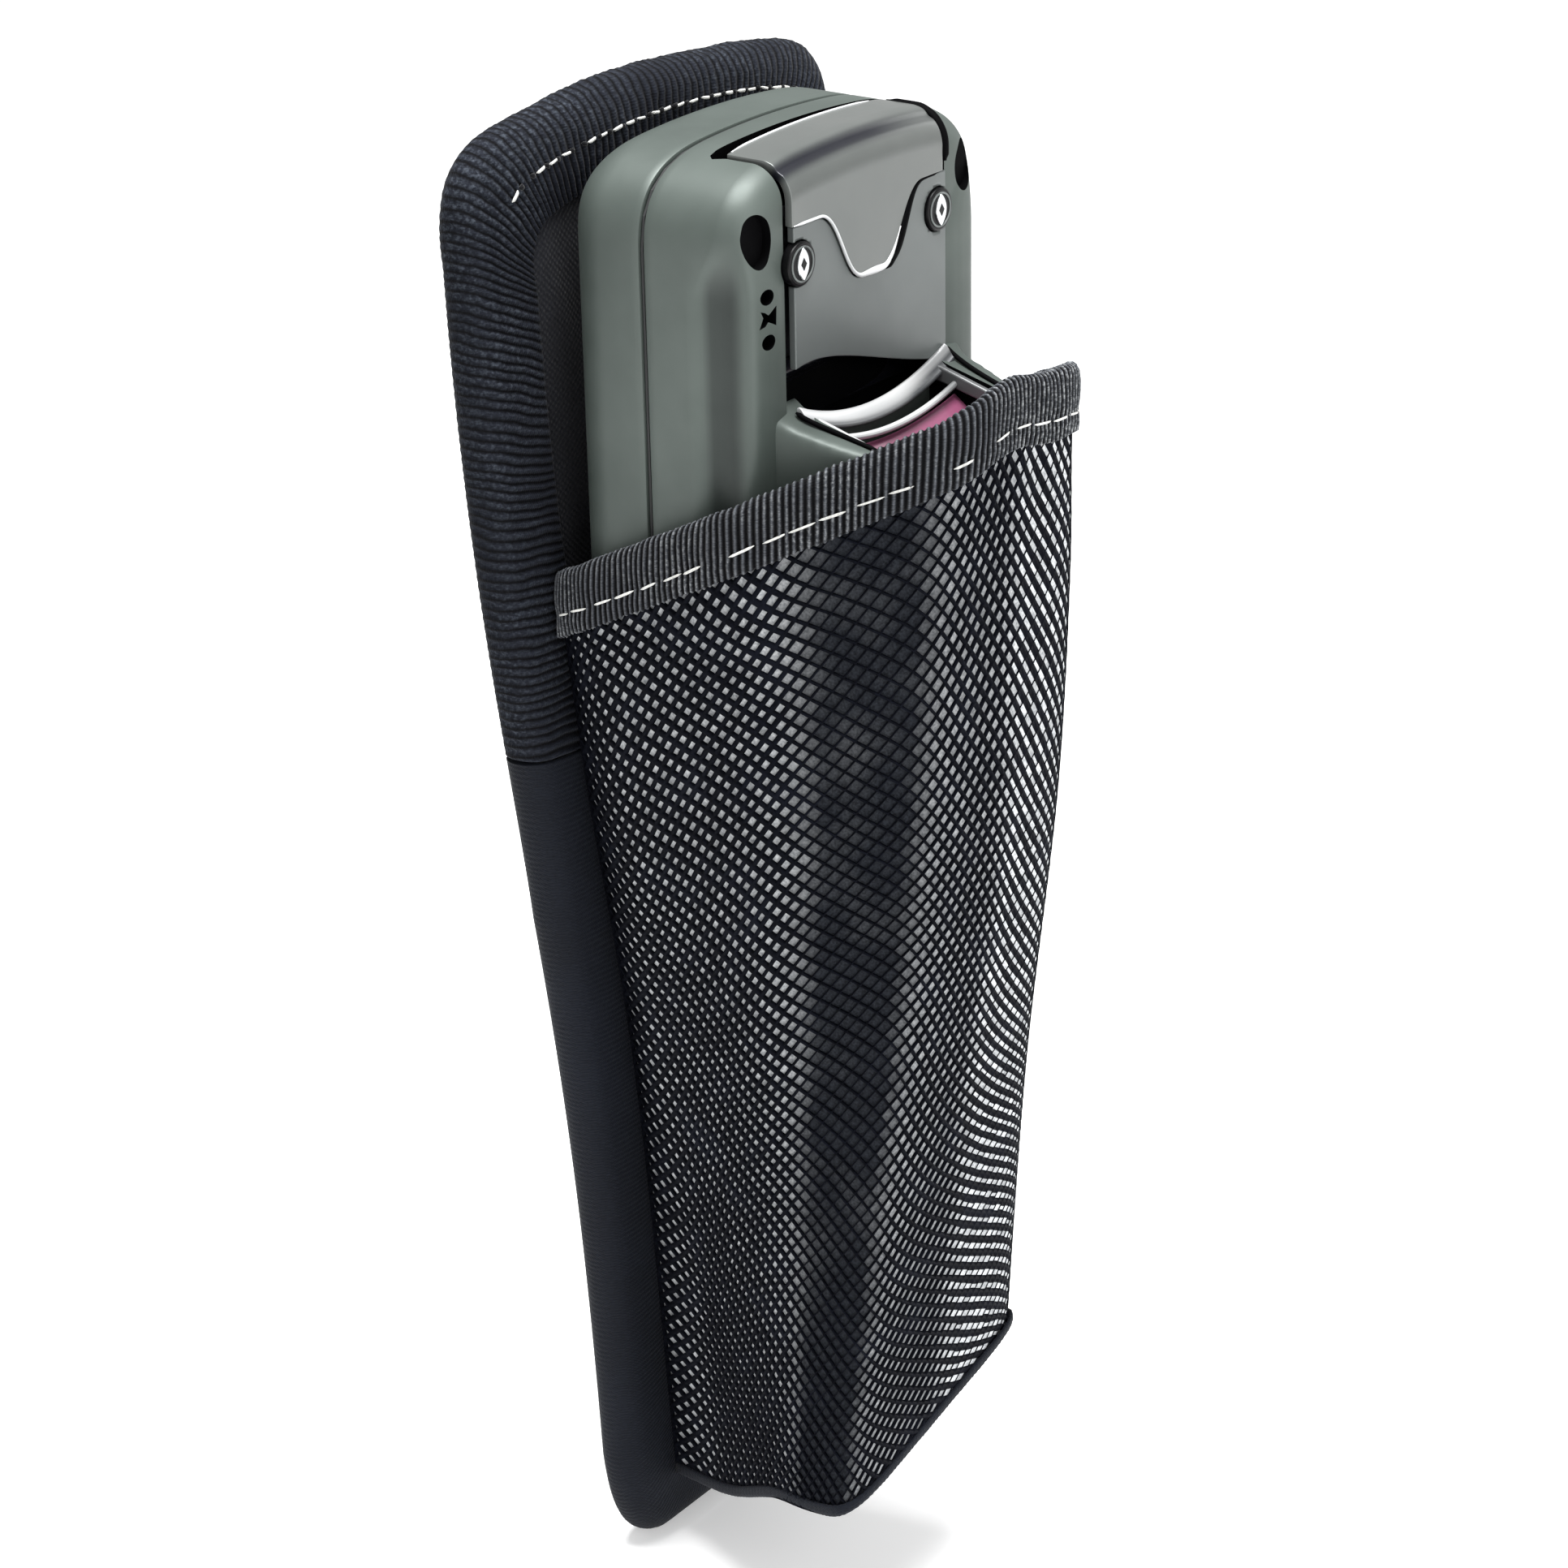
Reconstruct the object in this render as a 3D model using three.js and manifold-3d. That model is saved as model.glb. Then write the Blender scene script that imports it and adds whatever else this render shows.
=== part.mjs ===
// A rugged handheld computer standing in its belt holster.
//
// Units are millimetres, +Z is up and -Y is the holster's front, where the pouch is. The origin is on
// the flat outer face of the belt loop, in its middle, where the holster lies against the wearer.
// The computer stands with its display towards the padded back panel, so its own back, with the
// battery door and the scanner hood, faces the pouch.

import * as THREE from 'three';
import * as BufferGeometryUtils from 'three/addons/utils/BufferGeometryUtils.js';
import Module from 'manifold-3d';

const wasm = await Module();
wasm.setup();

// ---------------------------------------------------------------- driving dimensions

const GAP = 0.3; // air between pieces that touch on the real object

// Back panel: layers from the wearer's side towards the pouch. All depths below are measured from a
// plane inside the loop, and the whole object is moved at the end so that the loop's face is at y = 0.
const PANEL = {
  top: 79.5,
  bottom: -254,
  bottomHalfWidth: 25,
  coreInset: 1.8, // how far the layers stop inside the edge binding
  coverThickness: 1.4,
  boardThickness: 1.5,
  foamThickness: 3.4,
  liningThickness: 1.2,
  bindingWidth: 16.5,
  bindingThickness: 0.9,
  bindingChangeZ: -53, // ribbed tape above, smooth tape below
};
const COVER_Y = -4;
const BOARD_Y = COVER_Y - PANEL.coverThickness - GAP;
const FOAM_Y = BOARD_Y - PANEL.boardThickness - GAP;
const LINING_Y = FOAM_Y - PANEL.foamThickness - GAP;
const PANEL_FRONT_Y = LINING_Y - PANEL.liningThickness;
const BINDING_FRONT_Y = PANEL_FRONT_Y - GAP - PANEL.bindingThickness;

// Belt loop: a strap that stands off the back so that a belt slides behind it.
const LOOP = { halfWidth: 25, halfHeight: 38, slotHalfHeight: 27, slotDepth: 5.2, thickness: 2 };

// Pouch: each seam is a vertical line on the wall, given by [x, y] at four heights.
// The rim and the hem both lie in sloping planes.
const WALL = 1.6;
const FLOOR_THICKNESS = 2.2;
const POUCH_BACK_Y = BINDING_FRONT_Y - 2 * GAP;
const RIM = { backZ: -13, slope: 0.505, bandHeight: 14, bandThickness: 3.2, bandOutset: 0.8 };
const HEM = { backZ: -236.5, slopeX: 0.26, slopeY: 0.43 };
const UPPER_Z = -60;
const MIDDLE_Z = -128;
const onPanel = (x) => [x, POUCH_BACK_Y];
const SEAMS = [
  { rim: onPanel(40), upper: onPanel(33.5), middle: onPanel(22), hem: onPanel(12) },
  { rim: [44.5, -19], upper: [40, -24], middle: [30, -28], hem: [18, -28] },
  { rim: [44.5, -62], upper: [42, -63], middle: [35, -58], hem: [28, -54] },
  { rim: [20, -98], upper: [21.5, -92], middle: [24, -84], hem: [29, -73] },
];

// Where the computer stands in the pouch, and how deep it has sunk.
const COMPUTER_AT = { y: -3, z: -1.5 };

// Computer body: a rounded case, wider at the head than at the foot.
const BODY = {
  top: 76,
  bottom: -99,
  headHalfWidth: 40,
  footHalfWidth: 28,
  footCorner: 13,
  taperZ: -12,
  frontY: -15,
  backY: -59,
  partingY: -35.4,
  partingGap: 1.1,
  frontEdgeRadius: 10,
  backEdgeRadius: 7,
  wall: 2.5,
};
const DOOR = { halfWidth: 26, bottom: 25, plateY: -55.3, wrapY: -45.5, wrapZ: 72, proud: 1.2, slit: 0.4 };
const LOCK = { x: 22.9, z: 55.2, radius: 4.3, proud: 0.5, depth: 6 };
const WELL = { x: 34.4, z: 60.2, radius: 4.9, floorY: -50, bossRadius: 6.4 };
const FOOT_WELL = { x: 19.5, z: -84 };
const PORT = { x: 31, z: 45 }; // three small sound openings on the left pillar
const HOOD = { rootHalfWidth: 30, noseHalfWidth: 25, noseY: -80.5, portHalfWidth: 21.5 };
const DISPLAY = { halfWidth: 28.5, bottom: 4, top: 64 };
const KEY = { proud: 1.5, backY: -16.5, clearance: 0.35 };
const KEYPAD = { pitchX: 14.5, pitchZ: 12.8, topZ: -33, width: 11, height: 8.4 };
const NAV_Z = -14;
const CHEEK = 1.5; // side posts that carry the steps of the bright frame
const SCOOP = { halfWidth: 25, bottom: 20, springZ: 24, archZ: 33, floorY: -51, linerThickness: 1.5 };
const CAP = { shoulderX: 17, shoulderZ: 62.4, tipX: 3.2, tipZ: 46.8 };
const SCREW = { headRadius: 3, shankRadius: 1.35, driveRadius: 1.3, boreRadius: 1.7, headHeight: 2.3 };

// ---------------------------------------------------------------- materials

const fabric = (color) => new THREE.MeshStandardMaterial({ color, roughness: 0.92, metalness: 0 });
const plastic = (color, roughness = 0.45) =>
  new THREE.MeshStandardMaterial({ color, roughness, metalness: 0.1 });
const metal = (color, roughness = 0.25) =>
  new THREE.MeshStandardMaterial({ color, roughness, metalness: 0.9 });

const COLOR = {
  nylon: 0x191c22,
  lining: 0x1a1b1f,
  tape: 0x30353b,
  mesh: 0x3b4047,
  foam: 0x2a2c30,
  board: 0x3c3e40,
  case: 0x646e6c,
  door: 0x767b7b,
  cap: 0x939697,
  rubber: 0x1b1c1d,
  silver: 0xd8dadb,
  window: 0xb0566e,
  glass: 0x22282c,
  circuit: 0x1f5a3a,
  battery: 0x2b2d30,
  key: 0x3a3f40,
};

// ---------------------------------------------------------------- solids and booleans

function toSolid(geometry) {
  const bare = geometry.clone();
  bare.deleteAttribute('normal');
  bare.deleteAttribute('uv');
  const merged = BufferGeometryUtils.mergeVertices(bare, 1e-4);
  return new wasm.Manifold(
    new wasm.Mesh({
      numProp: 3,
      vertProperties: new Float32Array(merged.attributes.position.array),
      triVerts: new Uint32Array(merged.index.array),
    }),
  );
}

function toGeometry(solid) {
  const mesh = solid.getMesh();
  const geometry = new THREE.BufferGeometry();
  geometry.setAttribute('position', new THREE.BufferAttribute(mesh.vertProperties, 3));
  geometry.setIndex(new THREE.BufferAttribute(mesh.triVerts, 1));
  geometry.computeVertexNormals();
  return geometry;
}

const cut = (geometry, tools) =>
  toGeometry(tools.reduce((solid, tool) => solid.subtract(toSolid(tool)), toSolid(geometry)));
const join = (geometries) =>
  toGeometry(geometries.slice(1).reduce((solid, next) => solid.add(toSolid(next)), toSolid(geometries[0])));
const common = (geometry, other) => toGeometry(toSolid(geometry).intersect(toSolid(other)));

function box(x, y, z) {
  const [low, high] = [new THREE.Vector3(x[0], y[0], z[0]), new THREE.Vector3(x[1], y[1], z[1])];
  const size = high.clone().sub(low);
  const centre = low.clone().add(high).multiplyScalar(0.5);
  return new THREE.BoxGeometry(size.x, size.y, size.z).translate(centre.x, centre.y, centre.z);
}

// A round bar along Y between two depths.
function barY(radius, x, z, backY, frontY, sides = 24) {
  const length = backY - frontY;
  return new THREE.CylinderGeometry(radius, radius, length, sides).translate(x, frontY + length / 2, z);
}

// A flat outline in X and Z, given thickness from backY towards -Y, with rounded edges if wanted.
function slab(shape, backY, frontY, edge = 0, steps = 1, curveSegments = 5) {
  const depth = backY - frontY - 2 * edge;
  const geometry = new THREE.ExtrudeGeometry(shape, {
    depth,
    curveSegments,
    bevelEnabled: edge > 0,
    bevelThickness: edge,
    bevelSize: edge,
    bevelOffset: -edge,
    bevelSegments: steps,
  });
  return geometry.rotateX(Math.PI / 2).translate(0, backY - edge, 0);
}

// An outline in Y and Z, given width across X.
function profileX(points, halfWidth) {
  const shape = new THREE.Shape(points.map(([y, z]) => new THREE.Vector2(y, z)));
  const geometry = new THREE.ExtrudeGeometry(shape, { depth: 2 * halfWidth, bevelEnabled: false });
  const turn = new THREE.Matrix4().makeBasis(
    new THREE.Vector3(0, 1, 0),
    new THREE.Vector3(0, 0, 1),
    new THREE.Vector3(1, 0, 0),
  );
  return geometry.applyMatrix4(turn).translate(-halfWidth, 0, 0);
}

function roundedRectangle(width, height, radius, x = 0, z = 0) {
  const [w, h] = [width / 2 - radius, height / 2 - radius];
  const shape = new THREE.Shape();
  shape.absarc(x + w, z + h, radius, 0, Math.PI / 2);
  shape.absarc(x - w, z + h, radius, Math.PI / 2, Math.PI);
  shape.absarc(x - w, z - h, radius, Math.PI, 1.5 * Math.PI);
  shape.absarc(x + w, z - h, radius, 1.5 * Math.PI, 2 * Math.PI);
  return shape;
}

const scene = { holster: new THREE.Group(), computer: new THREE.Group() };

function add(group, name, geometry, material) {
  const mesh = new THREE.Mesh(geometry, material);
  mesh.name = name;
  group.add(mesh);
}

// ---------------------------------------------------------------- holster: back panel

// Outline of the panel, pulled in by an inset: a wide head, an S-shaped taper and a narrow foot.
function panelShape(inset) {
  const point = (x, z) => new THREE.Vector2(x, z);
  const top = PANEL.top - inset;
  const bottom = PANEL.bottom + inset;
  const shoulder = point(43 - inset / 2, 75.5 - inset);
  const side = point(58.5 - inset, 52 - inset / 2);
  const waist = point(38.5 - inset, -92);
  const heel = point(PANEL.bottomHalfWidth - inset, -231 + inset / 2);
  const toe = point(12 - inset / 2, bottom);
  const half = new THREE.CurvePath();
  half.add(new THREE.QuadraticBezierCurve(point(0, top), point(26, top), shoulder));
  half.add(new THREE.QuadraticBezierCurve(shoulder, point(59.5 - inset, 70.5 - inset), side));
  half.add(new THREE.CubicBezierCurve(side, point(55 - inset, -15), point(44.5 - inset, -58), waist));
  half.add(new THREE.CubicBezierCurve(waist, point(31 - inset, -146), point(28 - inset, -185), heel));
  half.add(new THREE.QuadraticBezierCurve(heel, point(23 - inset, bottom), toe));
  const right = half.getPoints(6);
  const left = right.slice(1).reverse().map((p) => point(-p.x, p.y));
  return new THREE.Shape([...right, ...left].reverse());
}

function buildPanel(group) {
  const core = panelShape(PANEL.coreInset);
  const layers = [
    ['back_cover', COVER_Y, PANEL.coverThickness, fabric(COLOR.nylon)],
    ['stiffener_board', BOARD_Y, PANEL.boardThickness, plastic(COLOR.board, 0.6)],
    ['foam_core', FOAM_Y, PANEL.foamThickness, fabric(COLOR.foam)],
    ['lining', LINING_Y, PANEL.liningThickness, fabric(COLOR.lining)],
  ];
  for (const [name, backY, thickness, material] of layers) {
    add(group, name, slab(core, backY, backY - thickness), material);
  }

  // The edge binding folds over the panel's edge: a tape seen on both faces.
  const folded = cut(slab(panelShape(0), COVER_Y + GAP + PANEL.bindingThickness, BINDING_FRONT_Y), [
    slab(panelShape(PANEL.coreInset - GAP), COVER_Y + GAP, PANEL_FRONT_Y - GAP),
    slab(panelShape(PANEL.bindingWidth), 20, -30),
  ]);
  const wide = [-90, 90];
  const deep = [-30, 20];
  const above = box(wide, deep, [PANEL.bindingChangeZ + GAP, 120]);
  const below = box(wide, deep, [-300, PANEL.bindingChangeZ]);
  add(group, 'edge_binding_upper', common(folded, above), fabric(COLOR.tape));
  add(group, 'edge_binding_lower', common(folded, below), fabric(COLOR.nylon));
}

function buildBeltLoop(group) {
  const inner = COVER_Y + LOOP.slotDepth;
  const outer = inner + LOOP.thickness;
  const foot = COVER_Y + GAP;
  const rise = LOOP.slotHalfHeight + 3;
  const profile = [
    [foot, LOOP.halfHeight],
    [foot, rise],
    [inner, LOOP.slotHalfHeight],
    [inner, -LOOP.slotHalfHeight],
    [foot, -rise],
    [foot, -LOOP.halfHeight],
    [foot + LOOP.thickness, -LOOP.halfHeight],
    [outer, -LOOP.slotHalfHeight],
    [outer, LOOP.slotHalfHeight],
    [foot + LOOP.thickness, LOOP.halfHeight],
  ];
  add(group, 'belt_loop', profileX(profile, LOOP.halfWidth), fabric(COLOR.tape));
}

// ---------------------------------------------------------------- holster: pouch

const rimZ = (y) => RIM.backZ + RIM.slope * (POUCH_BACK_Y - y);
const hemZ = (x, y) => HEM.backZ + HEM.slopeX * x + HEM.slopeY * (POUCH_BACK_Y - y);

function seamPoint(seam, side, level) {
  const [x, y] = seam[level];
  const heights = { rim: rimZ(y), upper: UPPER_Z, middle: MIDDLE_Z, hem: hemZ(side * x, y) };
  return new THREE.Vector3(side * x, y, heights[level]);
}

// The eight seams in order round the pouch, from the panel on the left to the panel on the right.
function ringAt(level) {
  const left = SEAMS.map((seam) => seamPoint(seam, -1, level));
  const right = SEAMS.map((seam) => seamPoint(seam, 1, level)).reverse();
  return [...left, ...right];
}

function ringBelowRim(drop) {
  const upper = ringAt('upper');
  return ringAt('rim').map((point, i) => point.clone().lerp(upper[i], drop / (point.z - upper[i].z)));
}

// Moves every point of a ring inwards in plan, mitred at the seams, so that the wall stays even.
function movedIn(ring, distance) {
  const inward = ring.slice(1).map((point, i) => {
    const along = point.clone().sub(ring[i]).setZ(0).normalize();
    return new THREE.Vector2(-along.y, along.x);
  });
  return ring.map((point, i) => {
    const before = inward[Math.max(i - 1, 0)];
    const after = inward[Math.min(i, inward.length - 1)];
    const scale = distance / (1 + before.dot(after));
    const step = before.clone().add(after).multiplyScalar(scale);
    return new THREE.Vector3(point.x + step.x, point.y + step.y, point.z);
  });
}

// Takes the stretch of a ring from one seam to another, stopping just short of both.
function stretch(ring, from, to) {
  const part = ring.slice(from, to + 1).map((point) => point.clone());
  const towards = (a, b) => b.clone().sub(a).setZ(0).normalize().multiplyScalar(GAP / 2);
  part[0].add(towards(ring[from], ring[from + 1]));
  part[part.length - 1].add(towards(ring[to], ring[to - 1]));
  return part;
}

// Closes two grids of points, an outer and an inner face, into one solid.
function gridSolid(outerRows, innerRows) {
  const rows = outerRows.length;
  const columns = outerRows[0].length;
  const points = [...outerRows.flat(), ...innerRows.flat()];
  const outer = (r, c) => r * columns + c;
  const inner = (r, c) => rows * columns + r * columns + c;
  const index = [];
  const quad = (a, b, c, d) => index.push(a, b, c, a, c, d);
  for (let r = 0; r < rows - 1; r += 1) {
    for (let c = 0; c < columns - 1; c += 1) {
      quad(outer(r, c), outer(r + 1, c), outer(r + 1, c + 1), outer(r, c + 1));
      quad(inner(r, c), inner(r, c + 1), inner(r + 1, c + 1), inner(r + 1, c));
    }
    quad(outer(r, 0), inner(r, 0), inner(r + 1, 0), outer(r + 1, 0));
    const last = columns - 1;
    quad(outer(r, last), outer(r + 1, last), inner(r + 1, last), inner(r, last));
  }
  for (let c = 0; c < columns - 1; c += 1) {
    const last = rows - 1;
    quad(outer(0, c), outer(0, c + 1), inner(0, c + 1), inner(0, c));
    quad(outer(last, c), inner(last, c), inner(last, c + 1), outer(last, c + 1));
  }
  const geometry = new THREE.BufferGeometry().setFromPoints(points);
  geometry.setIndex(index);
  geometry.computeVertexNormals();
  return geometry;
}

function buildPouch(group) {
  const strips = [
    ['side_left', 0, 2],
    ['corner_left', 2, 3],
    ['front', 3, 4],
    ['corner_right', 4, 5],
    ['side_right', 5, 7],
  ];
  const wallRows = [ringBelowRim(RIM.bandHeight + GAP), ringAt('upper'), ringAt('middle'), ringAt('hem')];
  const wallInner = wallRows.map((row) => movedIn(row, WALL));
  const bandRows = [ringBelowRim(0), ringBelowRim(RIM.bandHeight)];
  const bandOuter = bandRows.map((row) => movedIn(row, -RIM.bandOutset));
  const bandInner = bandRows.map((row) => movedIn(row, RIM.bandThickness - RIM.bandOutset));
  for (const [name, from, to] of strips) {
    const part = (rows) => rows.map((row) => stretch(row, from, to));
    add(group, `pouch_${name}`, gridSolid(part(wallRows), part(wallInner)), fabric(COLOR.mesh));
    add(group, `rim_binding_${name}`, gridSolid(part(bandOuter), part(bandInner)), fabric(COLOR.tape));
  }

  // The floor lies in the hem's plane, just inside the walls.
  const outline = movedIn(ringAt('hem'), WALL + 2 * GAP).map((point) => new THREE.Vector2(point.x, point.y));
  const options = { depth: FLOOR_THICKNESS, bevelEnabled: false };
  const floor = new THREE.ExtrudeGeometry(new THREE.Shape(outline), options);
  const position = floor.attributes.position;
  for (let i = 0; i < position.count; i += 1) {
    position.setZ(i, position.getZ(i) + hemZ(position.getX(i), position.getY(i)));
  }
  add(group, 'pouch_floor', floor, fabric(COLOR.nylon));
}

// ---------------------------------------------------------------- computer: case

// Outline of the case, pulled in by an inset: an arched head, straight sides and a narrower foot.
function bodyShape(inset) {
  const head = BODY.headHalfWidth - inset;
  const foot = BODY.footHalfWidth - inset;
  const top = BODY.top - inset;
  const bottom = BODY.bottom + inset;
  const shape = new THREE.Shape();
  shape.moveTo(0, bottom);
  const corner = BODY.footCorner;
  shape.lineTo(foot - corner, bottom);
  shape.quadraticCurveTo(foot, bottom, foot + 1.6, bottom + corner);
  shape.lineTo(head, BODY.taperZ);
  shape.lineTo(head, top - 17);
  shape.bezierCurveTo(head, top - 6, head - 8, top - 1.6, head - 20, top - 0.8);
  shape.quadraticCurveTo(head - 30, top, 0, top);
  shape.quadraticCurveTo(30 - head, top, 20 - head, top - 0.8);
  shape.bezierCurveTo(8 - head, top - 1.6, -head, top - 6, -head, top - 17);
  shape.lineTo(-head, BODY.taperZ);
  shape.lineTo(-foot - 1.6, bottom + corner);
  shape.quadraticCurveTo(-foot, bottom, corner - foot, bottom);
  return shape;
}

const frontBlock = slab(bodyShape(0), BODY.frontY, BODY.backY, BODY.frontEdgeRadius, 3);
const rearBlock = (backY = BODY.backY) => slab(bodyShape(0), BODY.frontY, backY, BODY.backEdgeRadius, 3);
const interior = slab(bodyShape(BODY.wall), BODY.frontY - BODY.wall, BODY.backY + BODY.wall, 6, 2);
const everywhere = [-60, 60];

// The door's region: its plate on the back and its wrap over the head end.
function doorRegion(margin) {
  const x = [-DOOR.halfWidth - margin, DOOR.halfWidth + margin];
  return join([
    box(x, [-70, DOOR.plateY + margin], [DOOR.bottom - margin, 90]),
    box(x, [-70, DOOR.wrapY + margin], [DOOR.wrapZ - margin, 90]),
  ]);
}

// A finger scoop under the door: an arched recess with a flat floor.
function scoopBlock(inset, floorY, mouthY = -66) {
  const shape = new THREE.Shape();
  const half = SCOOP.halfWidth - inset;
  const arch = SCOOP.archZ - inset;
  shape.moveTo(-half, SCOOP.bottom + inset);
  shape.lineTo(half, SCOOP.bottom + inset);
  shape.lineTo(half, SCOOP.springZ);
  shape.bezierCurveTo(half, arch, -half, arch, -half, SCOOP.springZ);
  return slab(shape, floorY, mouthY);
}

const roundWells = [
  [-WELL.x, WELL.z],
  [WELL.x, WELL.z],
  [-FOOT_WELL.x, FOOT_WELL.z],
  [FOOT_WELL.x, FOOT_WELL.z],
];

function keyShapes() {
  const shapes = [
    ['nav_pad', roundedRectangle(17, 15, 5, 0, NAV_Z)],
    ['key_power', roundedRectangle(9, 7, 3, -21, NAV_Z)],
    ['key_function', roundedRectangle(9, 7, 3, 21, NAV_Z)],
    ['key_scan', roundedRectangle(20, 6.5, 3, 0, -84.5)],
  ];
  for (let row = 0; row < 4; row += 1) {
    for (let column = 0; column < 3; column += 1) {
      const x = (column - 1) * KEYPAD.pitchX;
      const z = KEYPAD.topZ - row * KEYPAD.pitchZ;
      const name = `key_row${row + 1}_column${column + 1}`;
      shapes.push([name, roundedRectangle(KEYPAD.width, KEYPAD.height, 2.5, x, z)]);
    }
  }
  return shapes;
}

// Makes a key's outline a little wider, for the hole that it moves in.
function keyHole(key) {
  key.computeBoundingBox();
  const { min, max } = key.boundingBox;
  const c = KEY.clearance;
  const shape = roundedRectangle(
    max.x - min.x + 2 * c,
    max.z - min.z + 2 * c,
    2.5,
    (min.x + max.x) / 2,
    (min.z + max.z) / 2,
  );
  return slab(shape, BODY.frontY + 5, BODY.frontY - 5, 0, 1, 2);
}

function buildCase(group) {
  const casePlastic = plastic(COLOR.case, 0.4);
  const keyTopY = BODY.frontY + KEY.proud;
  const keys = keyShapes().map(([name, shape]) => [name, slab(shape, keyTopY, KEY.backY, 0.6, 1, 2)]);
  for (const [name, key] of keys) {
    add(group, name, key, plastic(COLOR.key, 0.6));
  }

  const displayWidth = 2 * DISPLAY.halfWidth;
  const displayHeight = DISPLAY.top - DISPLAY.bottom;
  const displayZ = (DISPLAY.top + DISPLAY.bottom) / 2;
  const glass = roundedRectangle(displayWidth, displayHeight, 3, 0, displayZ);
  const glassSeat = roundedRectangle(displayWidth + 2 * GAP, displayHeight + 2 * GAP, 3, 0, displayZ);
  const sight = roundedRectangle(displayWidth - 4, displayHeight - 4, 2, 0, displayZ);
  const frontHalf = box(everywhere, [BODY.partingY + BODY.partingGap / 2, 0], [-120, 100]);
  const dockHole = box([-12.5, 12.5], [-33.5, -23.5], [-105, -90]);
  add(
    group,
    'front_housing',
    cut(common(frontBlock, frontHalf), [
      interior,
      slab(glassSeat, -10, BODY.frontY - 1.6),
      slab(sight, -10, -20),
      dockHole,
      ...keys.map(([, key]) => keyHole(key)),
    ]),
    casePlastic,
  );
  add(group, 'display_window', slab(glass, BODY.frontY - 0.1, BODY.frontY - 1.3), plastic(COLOR.glass, 0.1));

  // The rear half keeps solid bosses round the screw wells and behind the finger scoop.
  const rearHalf = box(everywhere, [-70, BODY.partingY - BODY.partingGap / 2], [-120, 100]);
  const bosses = roundWells.map(([x, z]) => barY(WELL.bossRadius, x, z, -30, -62));
  const scoopBacking = box([-28, 28], [-62, -47.5], [16, 33]);
  const openInterior = cut(interior, [...bosses, scoopBacking]);
  const soundPorts = [
    barY(1.5, -PORT.x - 0.3, PORT.z + 3.6, -50, -64, 12),
    barY(1.7, -PORT.x + 0.2, PORT.z, -50, -64, 12),
    barY(1.5, -PORT.x, PORT.z - 3.8, -50, -64, 12),
  ];
  add(
    group,
    'rear_housing',
    cut(common(rearBlock(), rearHalf), [
      openInterior,
      doorRegion(GAP),
      scoopBlock(0, SCOOP.floorY),
      ...roundWells.map(([x, z]) => barY(WELL.radius, x, z, WELL.floorY, -64)),
      ...roundWells.map(([x, z]) => barY(SCREW.boreRadius, x, z, -40, -52, 12)),
      ...[-LOCK.x, LOCK.x].map((x) => barY(LOCK.radius + GAP, x, LOCK.z, -53, -64)),
      ...soundPorts,
    ]),
    casePlastic,
  );

  const ring = cut(slab(bodyShape(0.5), BODY.partingY + 0.25, BODY.partingY - 0.25), [
    slab(bodyShape(2.2), -30, -40),
  ]);
  add(group, 'seam_gasket', ring, plastic(COLOR.rubber, 0.8));

  roundWells.forEach(([x, z], i) => {
    const seatY = WELL.floorY - GAP;
    const head = barY(SCREW.headRadius, x, z, seatY, seatY - SCREW.headHeight, 18);
    const shank = barY(SCREW.shankRadius, x, z, -41, seatY - 0.7, 12);
    const drive = barY(SCREW.driveRadius, x, z, seatY - 1.1, -60, 6);
    const place = ['upper_left', 'upper_right', 'lower_left', 'lower_right'][i];
    add(group, `housing_screw_${place}`, cut(join([head, shank]), [drive]), metal(0x6d7072, 0.4));
  });
}

// ---------------------------------------------------------------- computer: battery door

// Outline of the cap that overlaps the door: its lower edge dips in a V between two shoulders.
function capShape(drop) {
  const shape = new THREE.Shape();
  const edge = CAP.shoulderZ - drop;
  const tip = CAP.tipZ - drop;
  shape.moveTo(-40, edge);
  shape.lineTo(-CAP.shoulderX, edge);
  shape.bezierCurveTo(-10.5, edge, -9, tip, -CAP.tipX, tip);
  shape.lineTo(CAP.tipX, tip);
  shape.bezierCurveTo(9, tip, 10.5, edge, CAP.shoulderX, edge);
  shape.lineTo(40, edge);
  shape.lineTo(40, 95);
  shape.lineTo(-40, 95);
  return shape;
}

function buildDoor(group) {
  const blank = common(rearBlock(BODY.backY - DOOR.proud), doorRegion(0));
  const lockHoles = [-LOCK.x, LOCK.x].map((x) => barY(LOCK.radius + GAP, x, LOCK.z, -50, -66));
  const arch = scoopBlock(-GAP, -50);
  const door = cut(blank, [slab(capShape(DOOR.slit), -20, -80), arch, ...lockHoles]);
  add(group, 'battery_door', door, plastic(COLOR.door, 0.35));
  const cap = cut(common(blank, slab(capShape(0), -20, -80)), lockHoles);
  add(group, 'door_cap', cap, plastic(COLOR.cap, 0.22));

  for (const [name, x] of [['door_lock_left', -LOCK.x], ['door_lock_right', LOCK.x]]) {
    const face = BODY.backY - DOOR.proud - LOCK.proud;
    const barrel = barY(LOCK.radius, x, LOCK.z, face + LOCK.depth, face);
    const leaf = new THREE.Shape();
    leaf.moveTo(x, LOCK.z - 3.2);
    leaf.quadraticCurveTo(x + 2.4, LOCK.z, x, LOCK.z + 3.2);
    leaf.quadraticCurveTo(x - 2.4, LOCK.z, x, LOCK.z - 3.2);
    add(group, name, cut(barrel, [slab(leaf, face + 1.6, face - 2)]), metal(0x8a8d8f, 0.3));
  }
}

// ---------------------------------------------------------------- computer: scanner

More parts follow.
